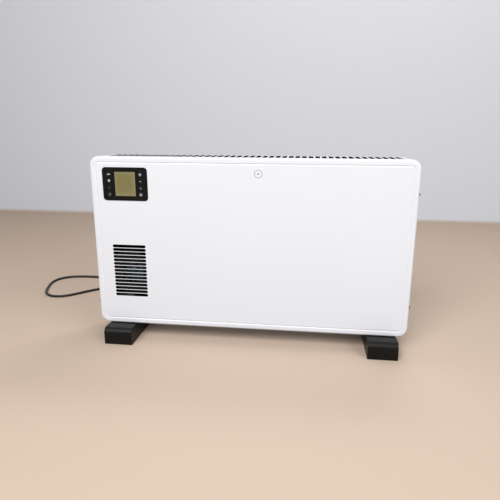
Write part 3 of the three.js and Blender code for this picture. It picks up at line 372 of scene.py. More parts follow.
def makeFineRelief():
    # a broad ripple with a fine grain on it
    group, given, result = newGroup(
        "fineRelief", {"RippleScale": 140.0, "GrainScale": 1800.0, "GrainShare": 0.4}, ["Height"]
    )
    place = objectPlace(group)
    ripple = noiseOn(place, given["RippleScale"], detail=1.0)
    fine = mathNode("MULTIPLY", noiseOn(place, given["GrainScale"], detail=2.0), given["GrainShare"])
    feed(result["Height"], mathNode("ADD", ripple, fine))
    return group


def makeDrawnLines():
    # the long marks that rolled and drawn metal keeps
    group, given, result = newGroup("drawnLines", {"Scale": 300.0, "Spread": 0.2}, ["Height", "Shade"])
    place = objectPlace(group)
    lines = noiseOn(place, given["Scale"], stretch=(0.03, 1, 1))
    blotch = noiseOn(place, 26.0)
    feed(result["Height"], lines)
    feed(result["Shade"], mathNode("MULTIPLY", mathNode("ADD", lines, blotch), given["Spread"]))
    return group


unevenTint = makeUnevenTint(dustSettings)
fineRelief = makeFineRelief()
drawnLines = makeDrawnLines()


def setInputs(node, values):
    # takes what the node has an input for
    for label, value in values.items():
        if label in node.inputs:
            feed(node.inputs[label], value)


def placeGroup(tree, group, values):
    node = addNode(tree, "Group", node_tree=group)
    setInputs(node, values)
    return node


def addBump(shader, height, strength, distance):
    values = {"Height": height, "Strength": strength, "Distance": distance * mm}
    feed(shader.inputs["Normal"], addNode(height.id_data, "Bump", values).outputs[0])


def newMaterial(name):
    material = bpy.data.materials.new(name)
    material.use_nodes = True
    return material, material.node_tree, material.node_tree.nodes["Principled BSDF"]


def makeFinish(name, look):
    material, tree, shader = newMaterial(name)
    setInputs(shader, look)
    tint = placeGroup(tree, unevenTint, {"Base": (*look["colour"], 1), **dict(zip(tintLabels, look["tint"]))})
    colour = tint.outputs["Color"]
    if "lines" in look:
        relief = placeGroup(tree, drawnLines, look["lines"])
        colour = mixColours(relief.outputs["Shade"], colour, (0.02, 0.02, 0.02, 1))
    else:
        relief = placeGroup(tree, fineRelief, dict(zip(reliefLabels, look.get("relief", ()))))
    feed(shader.inputs["Base Color"], colour)
    feed(shader.inputs["Roughness"], tint.outputs["Roughness"])
    addBump(shader, relief.outputs["Height"], look["bump"], look.get("depth", 0.02))
    return material


# tint: gloss, drift of colour, dust, drift of gloss and scale; relief: ripple, grain and its share
tintLabels = ("Gloss", "Drift", "DustShare", "GlossDrift", "Scale")
reliefLabels = ("RippleScale", "GrainScale", "GrainShare")
finishes = {
    "enamel": {
        "colour": (0.875, 0.872, 0.905), "tint": (0.42, 0.012, 0.03, 0.05, 5.0), "relief": (260.0, 900.0, 0.35),
        "Coat Weight": 0.25, "Coat Roughness": 0.18, "bump": 0.1,
    },
    "blackGloss": {
        "colour": (0.0068, 0.0064, 0.0055), "tint": (0.34, 0.2, 0.02, 0.1, 30.0), "relief": (500.0, 2600.0, 0.6),
        "Specular IOR Level": 0.14, "bump": 0.12,
    },
    # painted shade: near-black for the casing's inner faces and the walls of its slots, standing in for the shade
    # inside the casing
    "paintedInsideShade": {
        "colour": (0.014, 0.014, 0.0145), "tint": (0.7, 0.3, 0.02, 0.06, 40.0),
        "Specular IOR Level": 0.15, "bump": 0.2,
    },
    "filterFelt": {
        "colour": (0.016, 0.016, 0.017), "tint": (0.85, 0.4, 0.15, 0.06, 180.0), "relief": (900.0, 3200.0, 1.0),
        "Specular IOR Level": 0.15, "bump": 0.8, "depth": 0.2,
    },
    "blackMoulded": {
        "colour": (0.0042, 0.004, 0.0037), "tint": (0.4, 0.25, 0.035, 0.12, 22.0), "relief": (900.0, 2400.0, 0.9),
        "Specular IOR Level": 0.2, "bump": 0.35, "depth": 0.05,
    },
    "cordSheath": {
        "colour": (0.0105, 0.0105, 0.0115), "tint": (0.48, 0.2, 0.12, 0.15, 40.0), "relief": (700.0, 3000.0, 0.7),
        "Specular IOR Level": 0.35, "bump": 0.25, "depth": 0.04,
    },
    "ceramic": {
        "colour": (0.72, 0.68, 0.6), "tint": (0.75, 0.12, 0.15, 0.06, 60.0), "relief": (600.0, 1600.0, 1.0),
        "bump": 0.4, "depth": 0.06,
    },
    "boardGreen": {
        "colour": (0.012, 0.085, 0.03), "tint": (0.45, 0.5, 0.1, 0.06, 260.0),
        "Coat Weight": 0.4, "Coat Roughness": 0.2, "bump": 0.3,
    },
    "fanTeal": {
        "colour": (0.008, 0.045, 0.047), "tint": (0.45, 0.2, 0.2, 0.06, 30.0), "bump": 0.2,
    },
    "keyCap": {
        "colour": (0.008, 0.008, 0.0076), "tint": (0.42, 0.2, 0.02, 0.1, 60.0), "relief": (700.0, 2600.0, 0.8),
        "Specular IOR Level": 0.16, "bump": 0.2,
    },
    "zincSteel": {
        "colour": (0.34, 0.35, 0.36), "tint": (0.42, 0.35, 0.2, 0.2, 70.0),
        "Metallic": 1.0, "lines": {"Spread": 0.25}, "bump": 0.15,
    },
    "screwBlack": {
        "colour": (0.012, 0.012, 0.012), "tint": (0.36, 0.3, 0.1, 0.2, 300.0),
        "Metallic": 0.4, "lines": {"Spread": 0.1}, "bump": 0.15,
    },
    "elementAluminium": {
        "colour": (0.42, 0.41, 0.4), "tint": (0.5, 0.4, 0.25, 0.2, 45.0),
        "Metallic": 1.0, "lines": {"Spread": 0.3}, "bump": 0.15,
    },
    "brassPin": {
        "colour": (0.58, 0.42, 0.16), "tint": (0.28, 0.25, 0.0, 0.15, 120.0),
        "Metallic": 1.0, "lines": {"Scale": 900.0, "Spread": 0.12}, "bump": 0.15,
    },
    "printBright": {"colour": (0.72, 0.72, 0.7), "tint": (0.6, 0.2, 0.0, 0.06, 500.0), "bump": 0.2},
    "printSoft": {"colour": (0.22, 0.22, 0.21), "tint": (0.6, 0.25, 0.0, 0.06, 500.0), "bump": 0.2},
    "printDim": {"colour": (0.05, 0.05, 0.048), "tint": (0.6, 0.25, 0.0, 0.06, 500.0), "bump": 0.2},
    "greyPrint": {"colour": (0.11, 0.11, 0.115), "tint": (0.6, 0.2, 0.0, 0.06, 300.0), "bump": 0.2},
}
materials = {name: makeFinish(name, look) for name, look in finishes.items()}


glassSettings = {
    "coat": {"Coat Weight": 0.5, "Coat Roughness": 0.08}, "dark": (0.185, 0.16, 0.054, 1),
    "light": (0.275, 0.245, 0.118, 1), "rimStart": 0.6, "rimShare": 0.55, "cloudScale": 55.0, "cloudShare": 0.3,
    "gloss": (0.3, 0.42), "relief": (300.0, 2400.0, 0.5), "bump": 0.05, "depth": 0.01,
}


def makeDisplayGlass(glass):
    # an unlit olive display, lighter towards its edges
    material, tree, shader = newMaterial("displayGlass")
    setInputs(shader, glass["coat"])
    low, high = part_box("display_lens")
    middle, size = (low + high) / 2, high - low
    place = objectPlace(tree)
    centred = addNode(tree, "Mapping", {
        "Vector": place, "Scale": (2 / size.x, 0.0, 2 / size.z),
        "Location": (-middle.x * 2 / size.x, 0.0, -middle.z * 2 / size.z),
    })
    parts = addNode(tree, "SeparateXYZ", {0: centred.outputs[0]}).outputs
    outward = mathNode("MAXIMUM", mathNode("ABSOLUTE", parts["X"]), mathNode("ABSOLUTE", parts["Z"]))
    rim = mathNode("MULTIPLY", spreadOf(outward, glass["rimStart"], 1.0), glass["rimShare"])
    cloud = noiseOn(place, glass["cloudScale"], detail=2.0)
    share = mathNode("ADD", rim, mathNode("MULTIPLY", cloud, glass["cloudShare"]))
    feed(shader.inputs["Base Color"], mixColours(share, glass["dark"], glass["light"]))
    feed(shader.inputs["Roughness"], spreadOf(cloud, 0.3, 0.7, *glass["gloss"]))
    relief = placeGroup(tree, fineRelief, dict(zip(reliefLabels, glass["relief"])))
    addBump(shader, relief.outputs["Height"], glass["bump"], glass["depth"])
    return material


materials["displayGlass"] = makeDisplayGlass(glassSettings)
print("finishes mixed:", len(materials))

# the mains lead: one run from the strain relief to the plug

leadSettings = {
    "diameter": 7.5,
    "length": 1.77,  # metres
    "start": (-335, 96.6, 80),
    "drop": [
        (-335, 111, 79), (-337, 128, 73), (-341, 145, 61), (-347, 161, 45), (-355, 177, 29), (-366, 193, 15),
        (-381, 210, 6.5),
    ],
    "onFloor": [
        (-400, 228), (-422, 247), (-447, 266), (-474, 281), (-502, 288), (-528, 282), (-549, 266), (-571, 243),
        (-589, 224), (-608, 206), (-632, 194), (-660, 195), (-684, 211), (-701, 239), (-713, 271), (-723, 305),
        (-725, 338), (-713, 367), (-688, 386), (-655, 394), (-618, 396), (-580, 396), (-542, 396),
    ],
    "floorHeight": 4.05, "beforeCoil": (-508, -467.8), "coilCentre": (-460, 350), "coilRadius": 46,
    "turnPitch": 8.1, "turnsPerLayer": 1.25, "climbTurns": 0.5, "stepsPerTurn": 24, "lowerHeight": 5.15,
    "tailLength": 62, "tailSteps": 5, "plugStart": -390.5, "plugHeight": 18.6,
}


def leadRoute(lead):
    centreX, centreY = lead["coilCentre"]
    low, pitch = lead["lowerHeight"], lead["turnPitch"]
    outer = centreY + lead["coilRadius"]
    route = [lead["start"], *lead["drop"], *[(x, y, lead["floorHeight"]) for x, y in lead["onFloor"]]]
    route += [(x, outer, low) for x in lead["beforeCoil"]]
    turns = 2 * lead["turnsPerLayer"] + lead["climbTurns"]
    steps = round(turns * lead["stepsPerTurn"])
    for i in range(steps + 1):
        turned = turns * i / steps
        climb = min(max((turned - lead["turnsPerLayer"]) / lead["climbTurns"], 0), 1)
        radius = lead["coilRadius"] - pitch * min(turned, turns - turned)
        angle = math.pi / 2 - 2 * math.pi * turned
        route.append((centreX + radius * math.cos(angle), centreY + radius * math.sin(angle), low + climb * pitch))
    for i in range(1, lead["tailSteps"] + 1):
        share = i / lead["tailSteps"]
        rise = share * share * (3 - 2 * share)
        height = low + pitch + rise * (lead["plugHeight"] - low - pitch)
        route.append((centreX + lead["tailLength"] * share, outer, height))
    route.append((lead["plugStart"], outer, lead["plugHeight"]))
    return [Vector(point) * mm for point in route]


def makeLead(lead):
    route = leadRoute(lead)
    clearSelection()
    bpy.ops.curve.primitive_bezier_curve_add(radius=mm, location=(0, 0, 0))
    cord = nameNew("mains_lead")
    spline = cord.data.splines[0]
    spline.bezier_points.add(len(route) - 2)
    for knot, point in zip(spline.bezier_points, route):
        knot.co = point
        knot.handle_left_type = knot.handle_right_type = "AUTO"
    spline.resolution_u = 5
    cord.data.dimensions = "3D"
    cord.data.bevel_depth = lead["diameter"] / 2 * mm
    cord.data.bevel_resolution = 5
    cord.data.use_fill_caps = True
    cord.data.materials.append(materials["cordSheath"])
    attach(cord, "casing")
    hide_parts("power_cord", "cord_coil")
    return cord


mainsLead = makeLead(leadSettings)


# the plug, its pins and the tie lie on the lead

plugSettings = {
    "centre": (-390.2, 396, 18.6),
    "profile": [
        (0, 0), (4.4, 0), (4.75, 0.5), (4.95, 3), (4.1, 4), (5.1, 5), (5.3, 8), (4.3, 9), (5.4, 10), (5.6, 13),
        (4.5, 14), (5.7, 15), (5.9, 18), (4.8, 19), (6, 20), (6.2, 23.5), (9.4, 24.4), (10.6, 25.4), (11.4, 27.6),
        (11.8, 33), (12.8, 40.5), (14.6, 45.5), (17, 49.4), (18.2, 52), (18.5, 54.5), (18.5, 66.6), (18.1, 67.7),
        (17.2, 68), (0, 68),
    ],
    "grip": {"count": 10, "start": 29, "end": 44, "halfWidth": 0.7, "floor": 10.9, "top": 16, "round": 1.2},
    "disc": {"start": 68.3, "radius": 16.5, "thickness": 2, "edge": 0.5},
    "pin": {"start": 69.7, "spacing": 19, "radius": 2.4, "length": 19.6, "tip": 1.3},
}


def behind(x):
    return lambda part: all(v.co.x > x * mm for v in part.verts)


def makePlug(plug):
    # the plug's axis runs along X, away from the coil
    x, y, z = plug["centre"]
    place = moveTo(x, y, z)
    body = turnProfile("mains_plug", plug["profile"], place @ turnBy(90, "Y"), steps=64)
    grip, disc, pin = plug["grip"], plug["disc"], plug["pin"]
    for i in range(grip["count"]):
        groove = startBlock(
            "groove", (x + grip["start"], y - grip["halfWidth"], z + grip["floor"]),
            (x + grip["end"], y + grip["halfWidth"], z + grip["top"]), 1, grip["round"], 3,
        )
        turn = Matrix.Rotation(2 * math.pi * i / grip["count"], 4, "X")
        groove.data.transform(place @ turn @ place.inverted())
        cutAway(body, groove)
    start, thick = x + disc["start"], disc["thickness"]
    face = startRod("plug_prongs", (start + thick / 2, y, z), disc["radius"], thick, "X", 48)
    bevelEdges(face, behind(start + thick - 0.1), disc["edge"], 2)
    prongs = [face]
    end = x + pin["start"] + pin["length"]
    for side in (-1, 1):
        centre = (end - pin["length"] / 2, y + side * pin["spacing"] / 2, z)
        prong = startRod("pin", centre, pin["radius"], pin["length"], "X", 28)
        bevelEdges(prong, behind(end - 0.1), pin["tip"], 4)
        prongs.append(prong)
    prongs = joinPieces(prongs)
    finishPiece(body, "blackMoulded", "plug_body")
    finishPiece(prongs, "brassPin", "plug_pins")
    shadeFaces(prongs, "blackMoulded", lambda face: middleOf(face).x < start + thick + 0.05)
    return [body, prongs]


tieSettings = {"wall": 0.8, "corner": 3.2, "edge": 0.2}


def makeTie(tie):
    low, high = boxInMm("cord_tie")
    wall = tie["wall"]
    band = startBlock("lead_tie", low, high, 0, tie["corner"], 5)
    margin = Vector((-1, wall, wall))
    cutBlock(band, low + margin, high - margin, 0, tie["corner"] - wall, 5)
    for end in (low.x, high.x):
        bevelEdges(band, atLevel(0, end), tie["edge"], 2)
    finishPiece(band, "blackMoulded", "cord_tie")
    return band


onLead = [*makePlug(plugSettings), makeTie(tieSettings)]
print("mains lead laid")

# the casing: a pressed front tray, a band of four pieces behind it and a rear panel

caseSettings = {
    "halfWidth": 380, "low": 40, "high": 458, "front": -57, "back": 57, "cornerRadius": 22, "cornerSteps": 14,
    "frontRound": 5.5, "frontRoundSteps": 7, "flange": 15, "sheet": 1.2, "grooveInset": 12.2,
    "grooveSlope": 1.4, "grooveFlat": 1.3, "grooveDepth": 1.1, "grooveSoftness": 0.35, "bandInset": 1.5,
    "bandFront": -50.3, "bandBack": 55.5, "rearRound": 1.6, "lip": 10, "split": 352, "gap": 0.3,
    "punchDepth": 6,
    "tab": {"ends": (-8, 4.5), "depth": (-40.3, 44.3), "corner": 3},
    "panelWindow": ((-346.45, 357.6), (-242.15, 430.7)),
    "windowCorner": 4.4,
    "switchOpening": ((-390, -6.6, 135.3), (-360, 6.6, 164.7)),
    "leadHoleRadius": 6.3, "screwHoleRadius": 2.4, "screwLine": -47,
    "screwHeights": {"right": (114.2, 381.6), "left": (94.8,)},
    "punchedEdge": 0.28, "rearEdge": 0.2,
}
grilleSettings = {"count": 15, "pitch": 8.9, "middle": (-293.8, 179.6), "width": 82.6, "height": 6.9}
outletSettings = {"count": 45, "pitch": 15.5, "width": 10.5, "corner": 1.0, "front": -40, "back": 45, "depth": 8}
inletSettings = {"count": 30, "pitch": 18, "width": 8, "corner": 1.0, "front": -26, "back": 26, "depth": 6}
rearSlotSettings = {"count": 34, "step": (14, 0, 0), "low": (-163.5, 87), "high": (-158.5, 133), "corner": 1.2}
fanIntakeSettings = {"count": 8, "step": (0, 0, 14), "low": (-334.8, 128.1), "high": (-252.8, 133.1), "corner": 1.2}
middleHeight = (caseSettings["low"] + caseSettings["high"]) / 2
straightOn = 0.97  # cosine above which a face looks straight along an axis
keyholeSettings = {"places": (-200, 200), "height": 380, "headRadius": 5, "neckRadius": 2.5, "neckRise": 9}


def cutSlots(piece, low, high, roundAxis, radius, count, step):
    # one slot's cutter, rounded and repeated in a row
    cutter = startBlock("slot_row", low, high, roundAxis, radius, 6)
    applyModifier(
        cutter, "ARRAY", count=count, use_relative_offset=False, use_constant_offset=True,
        constant_offset_displace=Vector(step) * mm,
    )
    cutAway(piece, cutter)


def cutLevelSlots(piece, slot, face, outward):
    # a row along X, centred, cut into a level face of the casing
    low, high = sorted((face + outward * beyond, face - outward * slot["depth"]))
    left = -(slot["count"] - 1) / 2 * slot["pitch"] - slot["width"] / 2
    cutSlots(
        piece, (left, slot["front"], low), (left + slot["width"], slot["back"], high),
        2, slot["corner"], slot["count"], (slot["pitch"], 0, 0),
    )


def breakEdges(piece, width, segments=2, angle=40):
    applyModifier(
        piece, "BEVEL", width=width * mm, segments=segments, limit_method="ANGLE",
        angle_limit=math.radians(angle), harden_normals=False,
    )


def makeFrontTray(case, grille):
    half, front = case["halfWidth"], case["front"]
    tray = startBlock(
        "front_tray", (-half, front, case["low"]), (half, front + case["flange"], case["high"]),
        1, case["cornerRadius"], case["cornerSteps"],
    )
    bevelEdges(tray, atLevel(1, front), case["frontRound"], case["frontRoundSteps"])
    editSelect(tray, "FACE", atLevel(1, front))
    insetFaces(case["grooveInset"] - case["frontRound"])
    insetFaces(case["grooveSlope"], -case["grooveDepth"])
    insetFaces(case["grooveFlat"])
    insetFaces(case["grooveSlope"], case["grooveDepth"])
    leaveEdit()
    editSelect(tray, "FACE", atLevel(1, front + case["flange"]))
    bpy.ops.mesh.delete(type="ONLY_FACE")
    bpy.ops.mesh.select_mode(type="EDGE")
    bpy.ops.mesh.edges_select_sharp(sharpness=math.radians(30))
    bpy.ops.mesh.bevel(offset=case["grooveSoftness"] * mm, segments=3, affect="EDGES", clamp_overlap=True)
    leaveEdit()
    applyModifier(tray, "SOLIDIFY", thickness=case["sheet"] * mm, offset=-1, use_even_offset=True)
    (left, low), (right, high) = case["panelWindow"]
    start, end = front - beyond, front + case["punchDepth"]
    cutBlock(tray, (left, start, low), (right, end, high), 1, case["windowCorner"], 6)
    middleX, middleZ = grille["middle"]
    lowest = middleZ - (grille["count"] - 1) / 2 * grille["pitch"]
    reach, rise = grille["width"] / 2, grille["height"] / 2
    cutSlots(
        tray, (middleX - reach, start, lowest - rise), (middleX + reach, end, lowest + rise),
        1, rise - 0.02, grille["count"], (0, 0, grille["pitch"]),
    )
    cutScrewHoles(tray, case)
    breakEdges(tray, case["punchedEdge"])
    finishPiece(tray, "enamel", "front_panel")

    highest = 2 * middleZ - lowest

    def slotWall(face):
        x, z = middleOf(face).xz
        inGrille = abs(x - middleX) < reach + 1 and lowest - rise - 1 < z < highest + rise + 1
        return inGrille and abs(face.normal.y) < straightOn

    inward = facesInward((0, front + case["flange"] - 1, middleHeight))

    def inside(face):
        # the pressed groove also looks inwards, so only what faces back or lies behind the round counts
        return inward(face) and (face.normal.y > 0.3 or middleOf(face).y > front + 4)

    # painted shade on the grille's slot walls and on the tray's inner faces
    shadeFaces(tray, "paintedInsideShade", lambda face: slotWall(face) or inside(face))


def facesInward(middle):
    # true for a face that looks at the middle of the casing
    return lambda face: face.normal.dot(middleOf(face) - Vector(middle)) < -1


def cutScrewHoles(piece, case):
    for side, heights in case["screwHeights"].items():
        x = case["halfWidth"] * sides[side]
        for height in heights:
            drill(piece, (x, case["screwLine"], height), case["screwHoleRadius"], 24, "X", 24)


def startInset(case, name, front, back):
    # a block with the casing's rounded outline, a little inside the front tray
    inset = case["bandInset"]
    half, low, high = case["halfWidth"] - inset, case["low"] + inset, case["high"] - inset
    corner = case["cornerRadius"] - inset
    return startBlock(name, (-half, front, low), (half, back, high), 1, corner, case["cornerSteps"])


def makeBand(case):
    band = startInset(case, "band", case["bandFront"], case["bandBack"])
    bevelEdges(band, atLevel(1, case["bandBack"]), case["rearRound"], 4)
    editSelect(band, "FACE", atLevel(1, case["bandBack"]))
    insetFaces(case["lip"] - case["rearRound"])
    bpy.ops.mesh.delete(type="FACE")
    leaveEdit()
    editSelect(band, "FACE", atLevel(1, case["bandFront"]))
    bpy.ops.mesh.delete(type="FACE")
    leaveEdit()
    applyModifier(band, "SOLIDIFY", thickness=case["sheet"] * mm, offset=-1, use_even_offset=True)
    return band


def addLapTabs(piece, case, outerZ, inward):
    # tabs at both ends go under the side panels, so no light shows through the joint
    step = case["sheet"] + case["gap"]
    low, high = sorted((outerZ + inward * step, outerZ + inward * (step + case["sheet"])))
    front, back = case["tab"]["depth"]
    tabs = []
    for side in sides.values():
        left, right = sorted(side * (case["split"] + x) for x in case["tab"]["ends"])
        tabs.append(startBlock("tab", (left, front, low), (right, back, high), 2, case["tab"]["corner"]))
    return joinPieces([piece, *tabs])


def makeCasingPieces(case):
    band = makeBand(case)
    pieces = {}
    for name, side in (("side_cover_right", 1), ("side_cover_left", -1)):
        cover = copyPiece(band, name)
        cutFlat(cover, 0, side * case["split"], keepAbove=side > 0)
        cutScrewHoles(cover, case)
        pieces[name] = cover
    middle = copyPiece(band, "middle")
    reach = case["split"] - case["gap"]
    cutFlat(middle, 0, -reach, keepAbove=True)
    cutFlat(middle, 0, reach, keepAbove=False)
    for name, isTop in (("inlet_bottom", False), ("outlet_top", True)):
        pieces[name] = copyPiece(middle, name)
        cutFlat(pieces[name], 2, middleHeight, keepAbove=isTop)
    for model in (band, middle):
        bpy.data.objects.remove(model)
    return pieces


def makeRearPanel(case):
    y0, y1 = case["back"] - case["sheet"], case["back"]
    start, end = y0 - beyond, y1 + beyond
    panel = startInset(case, "rear_cover", y0, y1)
    for slot in (rearSlotSettings, fanIntakeSettings):
        (left, low), (right, high) = slot["low"], slot["high"]
        cutSlots(
            panel, (left, start, low), (right, end, high), 1, slot["corner"], slot["count"], slot["step"]
        )
    keyhole = keyholeSettings
    z, neck = keyhole["height"], keyhole["neckRadius"]
    top = z + keyhole["neckRise"]
    for x in keyhole["places"]:
        drill(panel, (x, y1, z), keyhole["headRadius"])
        cutBlock(panel, (x - neck, start, z), (x + neck, end, top))
        drill(panel, (x, y1, top), neck, steps=24)
    x, _, z = leadSettings["start"]
    drill(panel, (x, y1, z), case["leadHoleRadius"])
    breakEdges(panel, case["rearEdge"])
    return finishPiece(panel, "enamel", "rear_panel")


makeFrontTray(caseSettings, grilleSettings)
print("front tray pressed and punched")
casing = makeCasingPieces(caseSettings)
cutLevelSlots(casing["outlet_top"], outletSettings, caseSettings["high"], 1)
cutLevelSlots(casing["inlet_bottom"], inletSettings, caseSettings["low"], -1)
cutBlock(casing["side_cover_left"], *caseSettings["switchOpening"])
bandTop = caseSettings["high"] - caseSettings["bandInset"]
bandBottom = caseSettings["low"] + caseSettings["bandInset"]
for name, node, tabs in (
    ("outlet_top", "top_grille", (bandTop, -1)), ("inlet_bottom", "bottom_plate", (bandBottom, 1)),
    ("side_cover_left", "side_panel_left", None), ("side_cover_right", "side_panel_right", None),
):
    breakEdges(casing[name], caseSettings["punchedEdge"])
    if tabs:
        casing[name] = addLapTabs(casing[name], caseSettings, *tabs)
    finishPiece(casing[name], "enamel", node)
# painted shade: the faces each test picks, inner faces and on the top its slot walls, get the near-black finish
insideTests = {
    "outlet_top": lambda face: max(face.normal.y, face.normal.z) < straightOn
    and middleOf(face).z < bandTop - 0.02,
    "inlet_bottom": lambda face: face.normal.z > 0.5,
    "side_cover_left": facesInward((0, 0, middleHeight)),
    "side_cover_right": facesInward((0, 0, middleHeight)),
    "rear_cover": lambda face: face.normal.y < -0.5,
}
casing["rear_cover"] = makeRearPanel(caseSettings)
for name, test in insideTests.items():
    shadeFaces(casing[name], "paintedInsideShade", test)

filterSettings = {
    "low": (-341, 54, 123), "high": (-247, 55.8, 236), "corner": 4, "rim": 3, "sink": 0.7, "edge": 0.2,
}


def makeIntakeFilter(pad):
    # a felt pad in a thin frame, inside the rear cover and over the fan's intake slots
    piece = startBlock("intake_filter", pad["low"], pad["high"], 1, pad["corner"], 5)
    editSelect(piece, "FACE", atLevel(1, pad["low"][1]))
    insetFaces(pad["rim"])
    insetFaces(pad["sink"], -pad["sink"])
    leaveEdit()
    breakEdges(piece, pad["edge"])
    finishPiece(piece, "filterFelt")


makeIntakeFilter(filterSettings)
print("casing closed")

# control panel: bezel, display and eight keys with printed marks

panelSettings = {
    "centre": (-294.2, 393.7), "width": 109.6, "height": 78.6, "cornerRadius": 8.2, "face": -58.8,
    "faceBack": -57.3, "faceRound": 0.9, "tubeBack": -44, "tubeCorner": 4.1, "tubeWall": 1.5, "lip": 2.4,
    "edge": 0.22, "displayGap": 0.3, "displayCorner": 0.6, "displayRound": 0.35,
    "displayTrim": (1.3, 0.7),  # off its left and top edges
    "surround": (61.5, 66.5), "surroundCorner": 1.6, "surroundDepth": 0.3, "keyHoleRadius": 7.1,
    "keyFront": -59.2, "markInset": 0.02, "markThickness": 0.45, "barRound": 0.3, "triangleRound": 0.5,
    "keyProfile": [
        (0, 0.32), (2.2, 0.26), (4.2, 0.13), (5.7, 0), (6.3, 0.05), (6.65, 0.25), (6.8, 0.6), (6.8, 2.2), (7.4, 2.2),
        (7.4, 3.2), (2.4, 3.2), (2.4, 5.7), (0, 5.7),
    ],
}
keyMarks = {
    "key_minus": {"bars": [(0, 0, 7.2, 1.9)]},
    "key_down": {"triangle": (4.0, -1)},
    "key_swing": {"bars": [(0, 1.7, 4.4, 0.8), (0, 0, 3.2, 0.8), (0, -1.7, 4.4, 0.8)], "ink": "printDim"},
    "key_timer": {"ring": (2.9, 0.8), "bars": [(0, 0.9, 0.8, 2.2), (0.8, 0, 1.8, 0.8)], "ink": "printSoft"},
    "key_plus": {"bars": [(0, 0, 7.0, 1.7), (0, 0, 1.7, 7.0)]},
    "key_set": {"dot": 1.2},
    "key_up": {"triangle": (3.1, 1), "ink": "printSoft"},
    "key_power": {"ring": (3.1, 1.1), "bars": [(0, 2.2, 1.1, 2.6)]},
}


def keyBody(node):
    return node.replace("key_", "") + "_key"


def keyCentre(node):
    low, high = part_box(node)
    return (low.x + high.x) / 2 / mm, (low.z + high.z) / 2 / mm


def windowCorners(panel):
    low, high = boxInMm("display_lens")
    left, top = panel["displayTrim"]
    return low + Vector((left, 0, 0)), high - Vector((0, 0, top))


def startPlate(name, x, z, width, height, y0, y1, corner, steps):
    # a rounded block that stands upright round (x, z)
    low, high = (x - width / 2, y0, z - height / 2), (x + width / 2, y1, z + height / 2)
    return startBlock(name, low, high, 1, corner, steps)


def makeBezel(panel):
    x, z = panel["centre"]
    face, back, wall = panel["face"], panel["faceBack"], panel["tubeWall"]
    width, height, corner = panel["width"], panel["height"], panel["cornerRadius"]
    bezel = startPlate("panel_bezel", x, z, width, height, face, back, corner, 10)
    bevelEdges(bezel, atLevel(1, face), panel["faceRound"], 4)
    width, height = width - 2 * panel["lip"], height - 2 * panel["lip"]
    tubeBack, corner = panel["tubeBack"], panel["tubeCorner"]
    tube = startPlate("tube", x, z, width, height, back - 0.7, tubeBack, corner, 8)
    width, height = width - 2 * wall, height - 2 * wall
    cutAway(tube, startPlate("hollow", x, z, width, height, back - 0.8, tubeBack + beyond, corner - 0.8, 8))
    cutAway(bezel, tube, "UNION")
    deep, corner = face + panel["surroundDepth"], panel["surroundCorner"]
    cutAway(bezel, startPlate("surround", x, z, *panel["surround"], face - 1, deep, corner, 4))
    low, high = windowCorners(panel)
    gap = Vector((panel["displayGap"], beyond, panel["displayGap"]))
    cutBlock(bezel, low - gap, high + gap, 1, panel["displayCorner"], 3)
    for node in keyMarks:
        x, z = keyCentre(node)
        drill(bezel, (x, face, z), panel["keyHoleRadius"], 8, steps=48)
    breakEdges(bezel, panel["edge"])
    finishPiece(bezel, "blackGloss", "control_bezel")


def makeMark(node, x, z, mark):
    # thin inlays, level with the rim of the key's dished face
    deep = panelSettings["markThickness"]
    face = panelSettings["keyFront"] + panelSettings["markInset"]
    back = face + deep
    upright = turnBy(90, "X")
    parts = []
    for dx, dz, width, height in mark.get("bars", []):
        parts.append(startPlate("bar", x + dx, z + dz, width, height, face, back, panelSettings["barRound"], 3))
    if "triangle" in mark:
        size, way = mark["triangle"]
        corner = startRod("triangle", (0, 0, 0), size, deep, "Z", 3)
        bevelEdges(corner, alongAxis(2), panelSettings["triangleRound"], 3)
        place = moveTo(x, (face + back) / 2, z - way * size * 0.2)
        corner.data.transform(place @ upright @ turnBy(0 if way > 0 else 180, "Z"))
        parts.append(corner)
    if "dot" in mark:
        parts.append(startRod("dot", (x, (face + back) / 2, z), mark["dot"], deep, "Y", 28))
    if "ring" in mark:
        radius, wall = mark["ring"]
        parts.append(turnProfile("ring", ringOutline(radius - wall, radius, deep), moveTo(x, back, z) @ upright))
    joinPieces(parts)
    symbol = nameNew(node.replace("key_", "mark_"))
    finishPiece(symbol, mark.get("ink", "printBright"), body=keyBody(node))


makeBezel(panelSettings)
windowLow, windowHigh = windowCorners(panelSettings)
lens = startBlock("display_window", windowLow, windowHigh)
bevelEdges(lens, atLevel(1, windowLow.y), panelSettings["displayRound"], 3)
finishPiece(lens, "displayGlass", "display_lens")
alongY = turnBy(-90, "X")
keyModel = turnProfile("key_model", panelSettings["keyProfile"], alongY, steps=56)
for node, mark in keyMarks.items():
    # each key and its mark ride with their own button body
    x, z = keyCentre(node)
    cap = copyPiece(keyModel, node.replace("key_", "button_"), moveTo(x, panelSettings["keyFront"], z))
    finishPiece(cap, "keyCap", node, body=keyBody(node))
    makeMark(node, x, z, mark)
bpy.data.objects.remove(keyModel)
print("control panel fitted")

# the round print on the front: a thin plain ring with a small centre dot

roundPrint = {"centre": (21.6, 422), "outer": 9.3, "wall": 0.9, "dot": 1.8, "thickness": 0.06}


def makeRoundPrint(badge):
    x, z = badge["centre"]
    front = caseSettings["front"] - badge["thickness"]
    outer, inner, deep = badge["outer"], badge["outer"] - badge["wall"], badge["thickness"] + 0.02
    ring = turnProfile("front_print", ringOutline(inner, outer, deep), moveTo(x, front, z) @ alongY, steps=64)
    dot = startRod("dot", (x, front + deep / 2, z), badge["dot"], deep, "Y", 40)
    finishPiece(joinPieces([ring, dot]), "greyPrint")


makeRoundPrint(roundPrint)

# screws: one turned pan head with a cross recess, copied to each place

